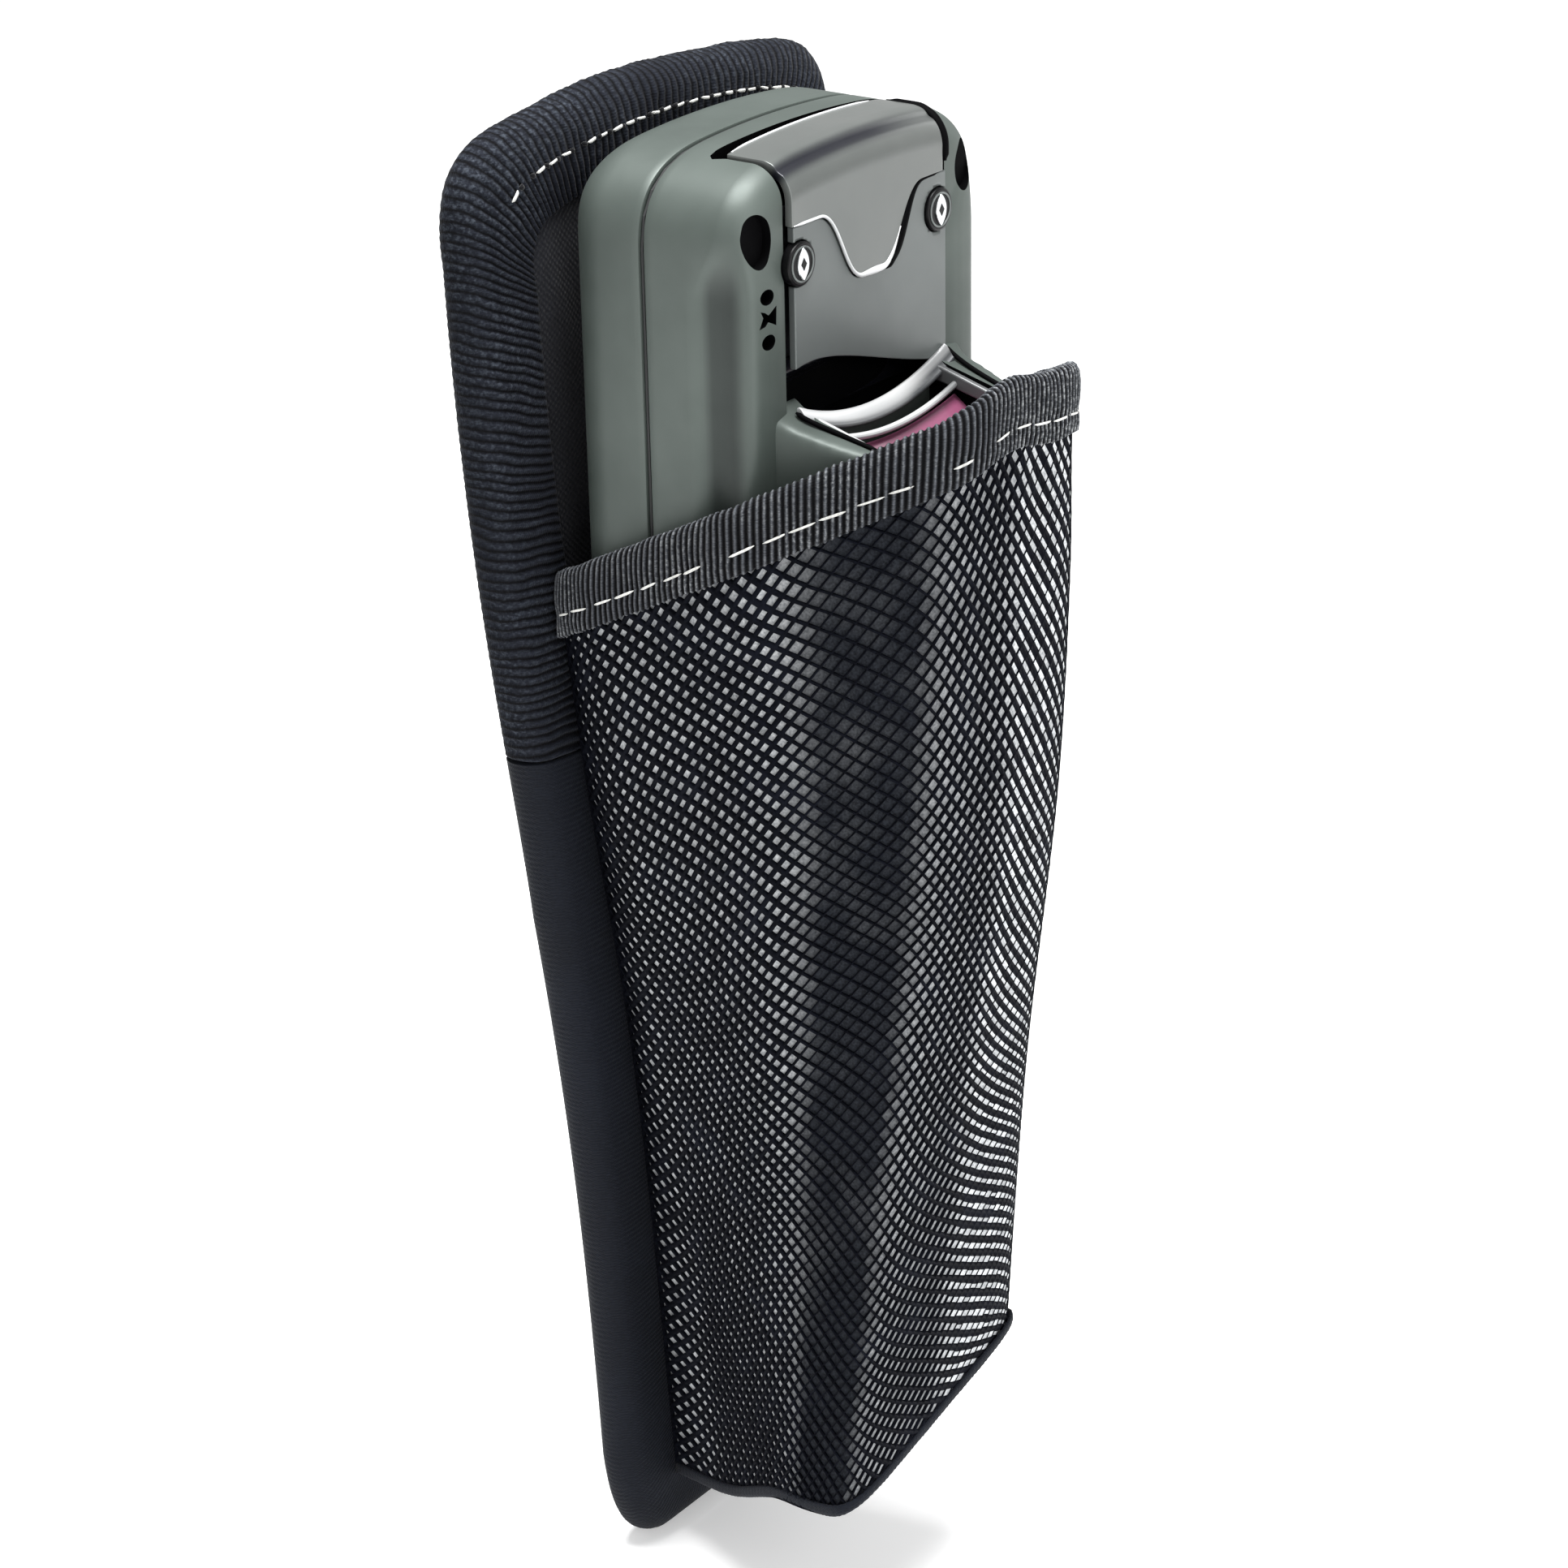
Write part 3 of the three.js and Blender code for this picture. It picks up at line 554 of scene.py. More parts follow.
def plate(name, rows, normal, thickness, at=CASE, sharp=40):
    """A closed plate from a grid of points (rows, columns, 3) and their normals, or one normal for all."""
    shape = rows.shape[:2]
    under = rows - np.asarray(normal) * thickness
    n = shape[0] * shape[1]
    index = np.arange(n).reshape(shape)
    edge = np.concatenate([index[0, :], index[1:, -1], index[-1, :-1][::-1], index[1:-1, 0][::-1]])
    after = np.roll(edge, -1)
    faces = [grid_faces(*shape), grid_faces(*shape, start=n, flip=True)]
    faces.append(np.stack([edge, after, after + n, edge + n], 1))
    points = np.concatenate([rows.reshape(-1, 3), under.reshape(-1, 3)])
    return mesh(name, points, np.concatenate(faces), at, sharp=sharp)


# ------------------------------------------------------------------ computer: the two halves of the case

# The case: its ends in Z, half its width at the head and at the foot, and its front and back in Y.
TOP, BOTTOM = 76.0, -99.0
HEAD, FOOT = 40.0, 28.0
FRONT_Y, BACK_Y = -15.0, -59.0


def case_outline():
    """The case's outline, clockwise from the middle of its head, evenly spaced."""
    half = chain([
        bezier([(0, TOP), (HEAD - 30, TOP), (HEAD - 20, TOP - 0.8)], 20),
        bezier([(HEAD - 20, TOP - 0.8), (HEAD - 8, TOP - 1.6), (HEAD, TOP - 6), (HEAD, TOP - 17)], 40),
        bezier([(HEAD, TOP - 17), (HEAD, -12)], 30),
        bezier([(HEAD, -12), (FOOT + 1.6, BOTTOM + 13)], 40),
        bezier([(FOOT + 1.6, BOTTOM + 13), (FOOT, BOTTOM), (FOOT - 13, BOTTOM)], 24),
        bezier([(FOOT - 13, BOTTOM), (0, BOTTOM)], 10),
    ])
    whole = mirrored(half)
    whole = resample(np.vstack([whole, whole[:1]]), 2001)[:-1]
    step = lengths(whole)[1]
    reach = int(9 / step)
    return blurred(np.vstack([whole[-reach:], whole, whole[:reach]]), reach, 2.2 / step)


# Points along its short and its long sides, and the corners where those meet.
ACROSS, DOWN = 64, 128
SHOULDER, HEEL = (36.5, 69.5), (25.5, -95.5)


def ring_of_four(outline):
    """Picks points on the outline so that they fall into four sides: head, right, foot, left."""
    closed = np.vstack([outline, outline[:1]])
    s = lengths(closed)
    total = s[-1]
    shoulder, heel = (s[np.argmin(np.abs(outline - corner).sum(1))] for corner in (SHOULDER, HEEL))

    def between(a, b, count):
        return sample(closed, s, np.linspace(a, b, count, endpoint=False) % total)

    return np.concatenate([
        between(-shoulder, shoulder, ACROSS),
        between(shoulder, heel, DOWN),
        between(heel, total - heel, ACROSS),
        between(total - heel, total - shoulder, DOWN),
    ])


def four_sides(ring):
    corner = [0, ACROSS, ACROSS + DOWN, 2 * ACROSS + DOWN]
    closed = np.vstack([ring, ring[:1]])
    head = closed[corner[0]:corner[1] + 1]
    right = closed[corner[1]:corner[2] + 1]
    foot = closed[corner[2]:corner[3] + 1][::-1]
    left = closed[corner[3]:][::-1]
    return coons(head, right, foot, left)


def lid_faces(start_ring, inner_start, flip):
    """Quads that close a ring of points with a grid whose inner points come after inner_start."""
    rows, columns = DOWN + 1, ACROSS + 1
    index = np.zeros((rows, columns), int)
    ring = np.arange(start_ring, start_ring + 2 * (ACROSS + DOWN))
    index[0, :] = ring[:ACROSS + 1]
    index[:, -1] = ring[ACROSS:ACROSS + DOWN + 1]
    index[-1, :] = ring[ACROSS + DOWN:2 * ACROSS + DOWN + 1][::-1]
    index[1:, 0] = ring[2 * ACROSS + DOWN:][::-1]
    index[0, 0] = ring[0]
    inner = np.arange(inner_start, inner_start + (rows - 2) * (columns - 2))
    index[1:-1, 1:-1] = inner.reshape(rows - 2, columns - 2)
    quads = np.stack([index[:-1, :-1], index[1:, :-1], index[1:, 1:], index[:-1, 1:]], -1).reshape(-1, 4)
    return quads[:, ::-1] if flip else quads


OUTLINE = case_outline()
RING = ring_of_four(OUTLINE)


def case_half(name, profile):
    """A solid half: rings of the outline, each moved in and back as profile says, closed by two lids."""
    levels = profile(RING[:, 1])
    rings = [np.column_stack([*offset_by(RING, inset).T, depth])[:, [0, 2, 1]] for inset, depth in levels]
    points = list(rings)
    count = len(RING)
    faces = [grid_faces(len(rings), count, wrap=True)]
    total = len(rings) * count
    for which, flip in ((0, True), (len(rings) - 1, False)):
        inner = four_sides(rings[which])[1:-1, 1:-1].reshape(-1, 3)
        faces.append(lid_faces(which * count, total, flip))
        points.append(inner)
        total += len(inner)
    return mesh(name, np.concatenate(points), np.concatenate(faces), CASE)


def offset_by(ring, inset):
    """Moves each point of the ring inwards by its own distance."""
    along = unit(np.roll(OUTLINE, -3, 0) - np.roll(OUTLINE, 3, 0))
    near = np.argmin(((ring[:, None, :] - OUTLINE[None]) ** 2).sum(-1), axis=1)
    inward = np.column_stack([along[near, 1], -along[near, 0]])
    return ring + inward * np.broadcast_to(inset, len(ring))[:, None]


def front_profile(z):
    flat = np.zeros_like(z)
    levels = [(flat + 0.5, flat - 34.85), (flat + 0.15, flat - 34.7), (flat, flat - 34.35)]
    levels += [(flat, flat + y) for y in np.linspace(-33, -25.5, 4)]
    for a in np.radians(np.linspace(0, 90, 15)):
        levels.append((flat + 10 * (1 - math.cos(a)), flat - 25 + 10 * math.sin(a)))
    return levels


# How far in from the side, and how deep, the pillars beside the battery door run: a cove, then a round rib.
PILLAR = np.array([
    (0, -46.5), (0.5, -48.0), (1.4, -49.5), (2.3, -50.8), (2.9, -52.0), (3.1, -53.4), (3.0, -54.8),
    (2.8, -56.2), (2.7, -57.4), (2.9, -58.3), (3.6, -59.0), (5.2, -59.4), (8, -59.6), (11, -59.5), (14, -59.0),
])


def rear_profile(z):
    flat = np.zeros_like(z)
    share = band(z, -75, -55, 50, 64)
    levels = [(flat + 0.5, flat - 35.95), (flat + 0.15, flat - 36.1), (flat, flat - 36.45)]
    levels += [(flat, flat + y) for y in np.linspace(-38, -45.5, 4)]
    fine = resample(PILLAR, 30)
    turn = np.radians(np.linspace(0, 90, len(fine)))
    for (inset, y), a in zip(fine, turn):
        plain_inset = 7 * (1 - math.cos(a))
        plain_y = -52 - 7 * math.sin(a) if a > 0 else -46.5
        levels.append((share * inset + (1 - share) * plain_inset, share * y + (1 - share) * plain_y))
    return levels


def extrude(name, loop, axes, low, high):
    """A closed outline in two axes, given width along the third from low to high."""
    rings = np.zeros((2, len(loop), 3))
    rings[..., axes] = loop
    rings[..., 3 - sum(axes)] = [[low], [high]]
    return tube(name, rings, CASE, sharp=40)


front = case_half("front_shell", front_profile)
keys = [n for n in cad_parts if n.startswith("key_") or n == "nav_pad"]
middle, size = seat_of("display_window")
cutters = [prism("seat", rounded(*(size + 0.6), 3, *middle), FRONT_Y - 1.6, FRONT_Y + 4, CASE)]
for n in keys:
    middle, size = seat_of(n)
    cutters.append(prism("hole", rounded(*(size + 0.8), 2.6, *middle), FRONT_Y - 3.5, FRONT_Y + 4, CASE))
cutters.append(prism("dock", rounded(25, 9, 1.5, 0, -99), -32.4, -23.4, CASE))
cut(front, cutters)
smooth(front, 35)
finish(front, "case", "computer", "case_plastic", "front_housing")

rear = two_slots(case_half("rear_shell", rear_profile))
BEYOND = -75  # a cutter's outer end, well outside the case
BED_HALF = 26.7
SCOOP_HALF, SCOOP_FOOT = 25, 20
ARCH = bezier([(-SCOOP_HALF, 34.8), (-14, 38), (4, 28.4), (SCOOP_HALF, 24.4)], 80)
SCOOP = chain([
    bezier([(-SCOOP_HALF, SCOOP_FOOT), ARCH[0]], 8), ARCH, bezier([ARCH[-1], (SCOOP_HALF, SCOOP_FOOT)], 3),
    bezier([(SCOOP_HALF, SCOOP_FOOT), (-SCOOP_HALF, SCOOP_FOOT)], 10),
])[:-1]
DOOR_BED = [(-BED_HALF, 24.6), (-BED_HALF, 95), (BED_HALF, 95), (BED_HALF, 24.6)]
# The slot that the cap hooks into, on the end of the case: widest at its left end.
TOP_SLOT = np.array([(-27.6, -43.4), (-26.6, -42.2), (-24, -41.8), (4, -42.6), (BED_HALF, -43.1),
                     (BED_HALF, BEYOND), (-BED_HALF, BEYOND), (-BED_HALF, -46)])
cutters = [
    prism("door_bed", DOOR_BED, -55.0, BEYOND, CASE, black=True),
    blacken(extrude("door_top", TOP_SLOT, (0, 1), 71.6, 95)),
    prism("scoop", SCOOP, -51, BEYOND, CASE, black=True),
    prism("battery_bed", rounded(45, 34.5, 1, 0, 48), -50, -57, CASE, black=True),
]
WELL_SIZE, WELL_SHIFT, WELL_FLOOR = (3.5, 5.2), 0.5, -57.0
for corner in ("upper_left", "upper_right", "lower_left", "lower_right"):
    x, z = seat_of(f"housing_screw_{corner}")[0]
    oval = circle(0, 0, 1.0) * WELL_SIZE + [x - math.copysign(WELL_SHIFT, x), z + 1.4 * (z > 0)]
    cutters.append(prism("well", oval, WELL_FLOOR, BACK_Y - 3, CASE, black=True))
# Two oval ports with a slot like a bow tie between them.
bow = np.array([(-33.2, 47.0), (-32.5, 45.7), (-33.6, 43.6), (-31.9, 43.9), (-31.1, 44.6), (-28.6, 43.4),
                (-28.4, 47.2), (-31.0, 45.9), (-32.0, 46.6)]) + [-1.4, 1.5]
ovals = [circle(0, 0, 1.0, 32) * [2.0, 1.5] + middle for middle in ((-32.6, 50.9), (-32.4, 42.1))]
cutters += [prism("port", hole, -52, BACK_Y - 3, CASE, black=True) for hole in (*ovals, bow)]
LOCKS = [seat_of(f"door_lock_{side}")[0] for side in ("left", "right")]
LOCK_RADIUS = seat_of("door_lock_left")[1][0] / 2
cutters += [prism("lock_bore", circle(x, z, 4.65), -54, BEYOND, CASE, black=True) for x, z in LOCKS]
for one in cutters:
    cut(rear, [one])
smooth(rear, 35)
finish(rear, "case,gap", "computer", "case_plastic", "rear_housing")

x, y, z = place_of(rear)
inset = np.interp(z, OUTLINE[:1000, 1][::-1], OUTLINE[:1000, 0][::-1]) - np.abs(x)
# The cove beside each pillar gets painted shade: its colour is darkened to stand for the shade in it.
shade(rear, 0.8 * ease(inset, 0.3, 1.8) * band(-y, 48, 50.5, 54, 57.5) * band(z, -60, -40, 50, 62))

# ------------------------------------------------------------------ computer: battery door, cap and locks

HEAD_LINE = OUTLINE[(OUTLINE[:, 1] > 60)]
HEAD_LINE = HEAD_LINE[np.argsort(HEAD_LINE[:, 0])]
PROUD, DOOR_HALF, CAP_ROUND = 1.2, 26.0, 7.0
DOOR_Y = BACK_Y - PROUD
V_EDGE = chain([
    bezier([(0, 48.2), (3.2, 48.2)], 4),
    bezier([(3.2, 48.2), (9, 48.2), (10.5, 62.8), (17, 62.8)], 30),
    bezier([(17, 62.8), (40, 62.8)], 3),
])
# Rows of the cap: up the back of the head, over its rounded edge, and on its end.
STRAIGHT, ROUND, FLAT = 34, 22, 7
OUTWARD = (0, -1.0, 0)


def head_z(x):
    return np.interp(x, HEAD_LINE[:, 0], HEAD_LINE[:, 1])


def notch_z(x):
    return np.interp(np.abs(x), V_EDGE[:, 0], V_EDGE[:, 1])


def arch_z(x):
    return np.interp(x, ARCH[:, 0], ARCH[:, 1])


def wrap(x, z_from, out, steps=(STRAIGHT, ROUND, FLAT)):
    """Points and normals up the back of the head at one x, over its rounded edge and onto its end."""
    top = head_z(x)
    centre_y, centre_z = DOOR_Y + CAP_ROUND, top - CAP_ROUND
    rows = [((DOOR_Y, z), (-1, 0)) for z in np.linspace(z_from, centre_z, steps[0])]
    for a in np.radians(np.linspace(0, 90, steps[1])[1:]):
        n = (-math.cos(a), math.sin(a))
        rows.append(((centre_y + CAP_ROUND * n[0], centre_z + CAP_ROUND * n[1]), n))
    rows += [((y, top), (0, 1)) for y in np.linspace(centre_y, -45.5, steps[2])[1:]]
    place = np.array([[x, y + out * n[0], z + out * n[1]] for (y, z), n in rows])
    return place, np.array([[0, *n] for _, n in rows])


LEFT_GAP, RIGHT_GAP, SHADE_GAP = 1.5, 0.2, 2.3


def door_top_z(x):
    """The door's upper edge: close to the cap on the left of the V, with a wide dark gap on its right."""
    return notch_z(x - SHADE_GAP * ease(x, 3, 7)) - 0.35


door_rows = np.array([
    [[x, DOOR_Y + 0.25, z] for z in np.linspace(arch_z(x) - 0.3, door_top_z(x), 40)]
    for x in np.linspace(-DOOR_HALF + LEFT_GAP, DOOR_HALF - RIGHT_GAP, 81)
])
door = bevel(plate("battery_door_plate", door_rows, OUTWARD, 1.6), 0.35, 3, 50)
cut(door, [prism("bore", circle(x, z, 4.6), -50, BEYOND, CASE) for x, z in LOCKS])
finish(door, "door", "battery_door", "door_plastic", "battery_door")

grids = [wrap(x, notch_z(x), 0.35) for x in np.linspace(-DOOR_HALF + 0.3, DOOR_HALF - 2.0, 101)]
cap_rows, cap_normals = (np.array(part) for part in zip(*grids))
# A shallow crease, and a band of painted shade where the cap starts to bend over; the painted shade fades out
# towards the right.
BAND_ROW, BAND_HALF = 12.5, 5.5
crease = np.exp(-((np.arange(cap_rows.shape[1]) - STRAIGHT + 1 - BAND_ROW) / 1.9) ** 2)
cap_rows = cap_rows - cap_normals * (0.45 * crease)[None, :, None]
cap = bevel(plate("door_cap_plate", cap_rows, cap_normals, 1.7), 0.45, 3, 50)
smooth(cap, 50)
x, y, z = place_of(cap)
bent = np.degrees(np.arctan2(z - head_z(x) + CAP_ROUND, DOOR_Y + CAP_ROUND - y)) * ROUND / 90
dark = band(bent, BAND_ROW - BAND_HALF, BAND_ROW - 1, BAND_ROW + 1, BAND_ROW + BAND_HALF)
paint(shade(cap, 0.95 * dark * (1 - 0.75 * ease(x, 2, 24))), "cap")


def bead(name, line, radius, kind):
    """A thin round bead along a line of points in the case's millimetres."""
    line = np.asarray(line, float)
    along = direction(line)
    across = unit(np.cross(along, [0.3, -1.0, 0.2]))
    up = np.cross(along, across)
    share = np.linspace(0, 1, len(line))
    size = np.broadcast_to(radius, len(line)) * np.clip(12 * np.minimum(share, 1 - share), 0.25, 1) ** 0.5
    angle = np.linspace(0, 2 * np.pi, 10, endpoint=False)[None, :, None]
    spokes = np.cos(angle) * across[:, None] + np.sin(angle) * up[:, None]
    return paint(tube(name, line[:, None] + size[:, None, None] * spokes, CASE), kind)


# Bright lips along the cap's V edge and along its edge on the end of the case, their brightness a painted
# highlight, then the dark gaps beside it, black beads of painted shadow.
highlight_lip = np.array([[x, DOOR_Y - 0.3, notch_z(x) + 0.15] for x in np.linspace(-25.2, 9.5, 110)])
top_highlight_lip = np.array([[x, -45.7, head_z(x) + 0.3] for x in np.linspace(-24.5, 20, 60)])
highlight_lip_width = 0.32 + 0.45 * np.exp(-((highlight_lip[:, 0] - 1) / 4.5) ** 2)
flank = np.linspace(4.0, 22.5, 90)
flank_line = np.column_stack([flank + ease(flank, 4, 8), np.full(90, DOOR_Y + 0.6), notch_z(flank) - 0.4])
end_line = wrap(25.15, 64.5, -0.1, (8, 22, 10))[0][:-1]
cap = join("door_cap_plate", [
    cap, bead("highlight_lip", highlight_lip, highlight_lip_width, "trim"), bead("highlight_lip", top_highlight_lip, 0.3, "trim"),
    bead("shadow_gap", flank_line, 1.5 - 1.05 * ease(flank, 8, 19), "gap"),
    bead("shadow_gap", end_line, 0.95, "gap"),
])
place_piece(cap, "battery_door", "cap_plastic", "door_cap")

# Each lock: a black disc, a bright leaf with a black gem on it, and a painted hoop.
LEAF_HALF = 3.25
FACE = DOOR_Y - 0.5
for side, (x, z) in zip(("left", "right"), LOCKS):
    disc = prism("disc", circle(x, z, LOCK_RADIUS, 72), FACE + 2.2, FACE, CASE)
    bevel(paint(disc, "lock_black"), 0.4)
    height = np.linspace(-LEAF_HALF, LEAF_HALF, 25)
    half = 1.75 * (1 - (height / LEAF_HALF) ** 2) ** 0.9
    left_edge, right_edge = (np.column_stack([x + way * half, z + height]) for way in (-1, 1))
    leaf = np.concatenate([left_edge, right_edge[::-1][1:-1]])
    blade = bevel(paint(prism("blade", leaf, FACE + 0.2, FACE - 0.35, CASE), "lock_silver"), 0.12, 2, 60)
    gem = [(x, z - 1.25), (x - 0.85, z), (x, z + 1.25), (x + 0.85, z)]
    slot_face = paint(prism("slot", gem, FACE - 0.2, FACE - 0.42, CASE), "lock_black")
    hoop = prism("hoop", circle(x, z, LOCK_RADIUS * 0.82, 72), FACE + 0.2, FACE - 0.16, CASE)
    cut(hoop, [prism("middle", circle(x, z, LOCK_RADIUS * 0.73, 72), FACE + 2, FACE - 2, CASE)])
    lock = join(f"lock_{side}", [disc, blade, slot_face, paint(hoop, "door")])
    place_piece(lock, f"door_lock_{side}", "lock_metal", f"door_lock_{side}")

# ------------------------------------------------------------------ computer: scanner hood

ROOT_Y, NOSE_Y = BACK_Y + 2.4, -80.7
PORT_HALF = 21.5
right_plan = chain([
    bezier([(34.5, ROOT_Y), (31, ROOT_Y), (29.2, -65)], 10),
    bezier([(29.2, -65), (26.5, -80), (21, NOSE_Y)], 24),
])
plan = np.concatenate([right_plan, (right_plan * [-1, 1])[::-1]])
PORT_FLOOR, HOOD_TOP = 2, 40
side_line = chain([
    bezier([(ROOT_Y, 28.5), (-59.8, 25.6), (-62.5, 24.4)], 8),
    bezier([(-62.5, 24.4), (-78, 20.6)], 4),
    bezier([(-78, 20.6), (NOSE_Y, 20), (NOSE_Y, 16)], 8),
    bezier([(NOSE_Y, 16), (NOSE_Y, -18)], 3),
    bezier([(NOSE_Y, -18), (-74, -38), (ROOT_Y, -46)], 14),
])

hood = extrude("hood_shell", plan, (0, 1), -60, HOOD_TOP)
cut(hood, [extrude("side", side_line, (1, 2), -40, 40)], "INTERSECT")
two_slots(soften(hood, 0.7, 30))
mouth = np.array([(-PORT_HALF, -50), (PORT_HALF, -50), (PORT_HALF, -63), (-PORT_HALF, -63)])
for loop, low, high in (
    (rounded(2 * PORT_HALF, 19.6, 1.2, 0, -68.2), PORT_FLOOR, HOOD_TOP),
    (rounded(26, 15.7, 1, 0, -69.6), -30, PORT_FLOOR + 1),
    (mouth, 19.8, HOOD_TOP),
):
    cut(hood, [blacken(extrude("hollow", loop, (0, 1), low, high))])
smooth(hood, 32)
finish(hood, "case,gap", "computer", "case_plastic", "scan_hood")
for side, sign in (("left", -1), ("right", 1)):
    # A black bead along each seam of the hood: painted shade in the seam.
    seam = [(25.3, -60.3, 26.5), (25.0, -62.6, 24.9), (23.2, -67, 23.7), (22.3, -78.4, 20.8)]
    groove = bead(f"hood_seam_{side}", bezier(np.array(seam) * [sign, 1, 1], 40), 0.5, "gap")
    place_piece(groove, "computer", "black_rubber")


def bar(name, section, top, sag, half=PORT_HALF - 0.3):
    """A bar across the port: a section in Y and Z swept along an arc that hangs in the middle."""
    x = np.linspace(-half, half, 41)
    drop = sag * (1 - (x / PORT_HALF) ** 2)
    rings = np.array([[(xx, y, top - d + z) for y, z in section] for xx, d in zip(x, drop)])
    return paint(bevel(tube(name, rings, CASE, sharp=40), 0.2, 2, 50), "trim")


MAIN_TOP, SECOND_TOP, MAIN_SAG = 25.7, 21.9, 4.0
MAIN_SECTION = [(-59.9, 0.2), (-60.5, 0.5), (-61.1, 0.2), (-61.5, -0.4), (-62.0, -1.1), (-62.6, -1.6),
                (-63.1, -1.8), (-63.1, -2.5), (-62.2, -2.7), (-60.8, -2.4), (-59.9, -2.0)]
main_bar = bar("main", MAIN_SECTION, MAIN_TOP, MAIN_SAG, 24.6)
# Painted shade on the main bar: darker on its lower half and towards its right end.
x, y, z = place_of(main_bar)
depth = MAIN_TOP - MAIN_SAG * (1 - (x / PORT_HALF) ** 2) - z
shade(main_bar, 0.85 * ease(depth, 0.5, 1.9) + 0.7 * ease(x, 6, 20))
SECOND_SECTION = [(-65.4, 0), (-65.8, 0.35), (-66.5, 0.2), (-66.8, -0.5), (-66.4, -1.1), (-65.5, -0.9)]
second_bar = bar("second", SECOND_SECTION, SECOND_TOP, 3.4)
# Painted shade on the second bar towards its right end.
parts = [main_bar, shade(second_bar, 0.8 * ease(place_of(second_bar)[0], 8, 20))]
cheek = np.array([(-59.9, 24.6), (-63, 24.0), (-77.4, 20.0), (-77.6, 17.4), (-63, 20.8), (-59.9, 21.4)])
# Painted shade on the cheeks: a little on the left one, heavy on the right one.
for sign, cheek_shade in ((-1, 0.05), (1, 0.9)):
    ends = sorted((sign * (PORT_HALF - 1.7), sign * (PORT_HALF - 0.25)))
    rail = bevel(extrude("cheek", cheek, (1, 2), *ends), 0.4)
    parts.append(paint(shade(rail, np.full(len(rail.data.vertices), cheek_shade)), "trim"))
place_piece(join("scan_frame", parts), "computer", "bright_trim", "scan_bezel")

# The rose pane of the scanner, set into the port below the bars.
u, v = np.linspace(-20.8, 20.8, 41), np.linspace(0, 1, 9)
pane_rows = np.array([
    [[x, -65.4 - 12 * k, 16.4 + 2.6 * (x / PORT_HALF) ** 2 - 9.0 * k] for k in v] for x in u
])
finish(plate("scan_pane", pane_rows, (0, -0.6, 0.8), 1.5), "rose", "computer", "scan_glass", "scan_window")


def dish_y(x, z):
    """Depth of the dish under the fingertip: deepest in the middle, rising where it goes under the door."""
    return -51.4 + 0.9 * (1 - (x / SCOOP_HALF) ** 2) * (1 - ((z - 25.5) / 7) ** 2) - 3.6 * ease(z, 28, 32.5)


u = np.linspace(0.4 - SCOOP_HALF, SCOOP_HALF - 0.4, 50)
dish = np.array([
    [[x, dish_y(x, z), z] for z in np.linspace(SCOOP_FOOT + 0.3, arch_z(x) - 0.35, 22)] for x in u
])
# The dish's near-black is painted shade and dark reflection under the door's edge.
finish(plate("scoop_dish", dish, OUTWARD, 1.2), "scoop", "computer", "black_rubber", "scoop_liner")

# ------------------------------------------------------------------ holster: padded back panel

PANEL_TOP, PANEL_BOTTOM, CHANGE_Z = 79.0, -254.0, -53.0
COVER_Y = -4.0


def panel_half(inset, steps):
    """The right half of the panel's outline, from the middle of its head to the middle of its foot."""
    i = inset
    top, bottom = PANEL_TOP - i, PANEL_BOTTOM + i
    shoulder, side = (44.5 - i / 2, 74.8 - i), (57.1 - i, 52 - i / 2)
    waist, heel, toe = (40.3 - i, -92), (25.6 - i, -231 + i / 2), (12 - i / 2, bottom)
    return chain([
        bezier([(0, top), (25, top - 0.4), shoulder], steps[0]),
        bezier([shoulder, (60 - i, 71.6 - i), side], steps[1]),
        bezier([side, (55 - i, -15), (44.5 - i, -58), waist], steps[2]),
        bezier([waist, (31 - i, -146), (28 - i, -185), heel], steps[3]),
        bezier([heel, (23 - i, bottom), toe], steps[4]),
        bezier([toe, (0, bottom)], steps[5]),
    ])


FINE = (112, 84, 360, 330, 66, 30)

# Section of the folded tape: how far in from the edge, how deep, and whether it is on the tape's outside.
TAPE = np.array([
    (16.4, -12.7, 0), (16.5, -13.2, 1), (16.0, -13.55, 1), (13.5, -13.75, 1), (10.5, -13.9, 1), (7.0, -13.8, 1),
    (3.6, -13.4, 1), (1.2, -12.4, 1), (-0.5, -10.9, 1), (-1.4, -9.0, 1), (-1.6, -7.2, 1), (-1.3, -5.4, 1),
    (-0.3, -3.9, 1), (1.6, -3.1, 1), (4.2, -2.8, 1), (8, -2.75, 1), (12, -2.8, 1), (16, -3.0, 1),
    (16.5, -3.3, 1), (16.3, -3.7, 0), (10, -3.75, 0), (4.4, -3.85, 0), (2.2, -5.0, 0), (1.5, -7.9, 0),
    (2.4, -11.0, 0), (4.6, -12.4, 0), (10, -12.6, 0),
])
TAPE_FINE = sample(np.vstack([TAPE, TAPE[:1]]), np.arange(len(TAPE) + 1),
                   np.linspace(0, len(TAPE), 3 * len(TAPE) // 2, endpoint=False))
TAPE_RUN = lengths(TAPE_FINE[:, :2])


def foot_to_foot(half):
    """The whole outline, from the middle of its foot up the left side, round and back again."""
    return np.concatenate([(half * [-1, 1])[::-1], half[1:]])


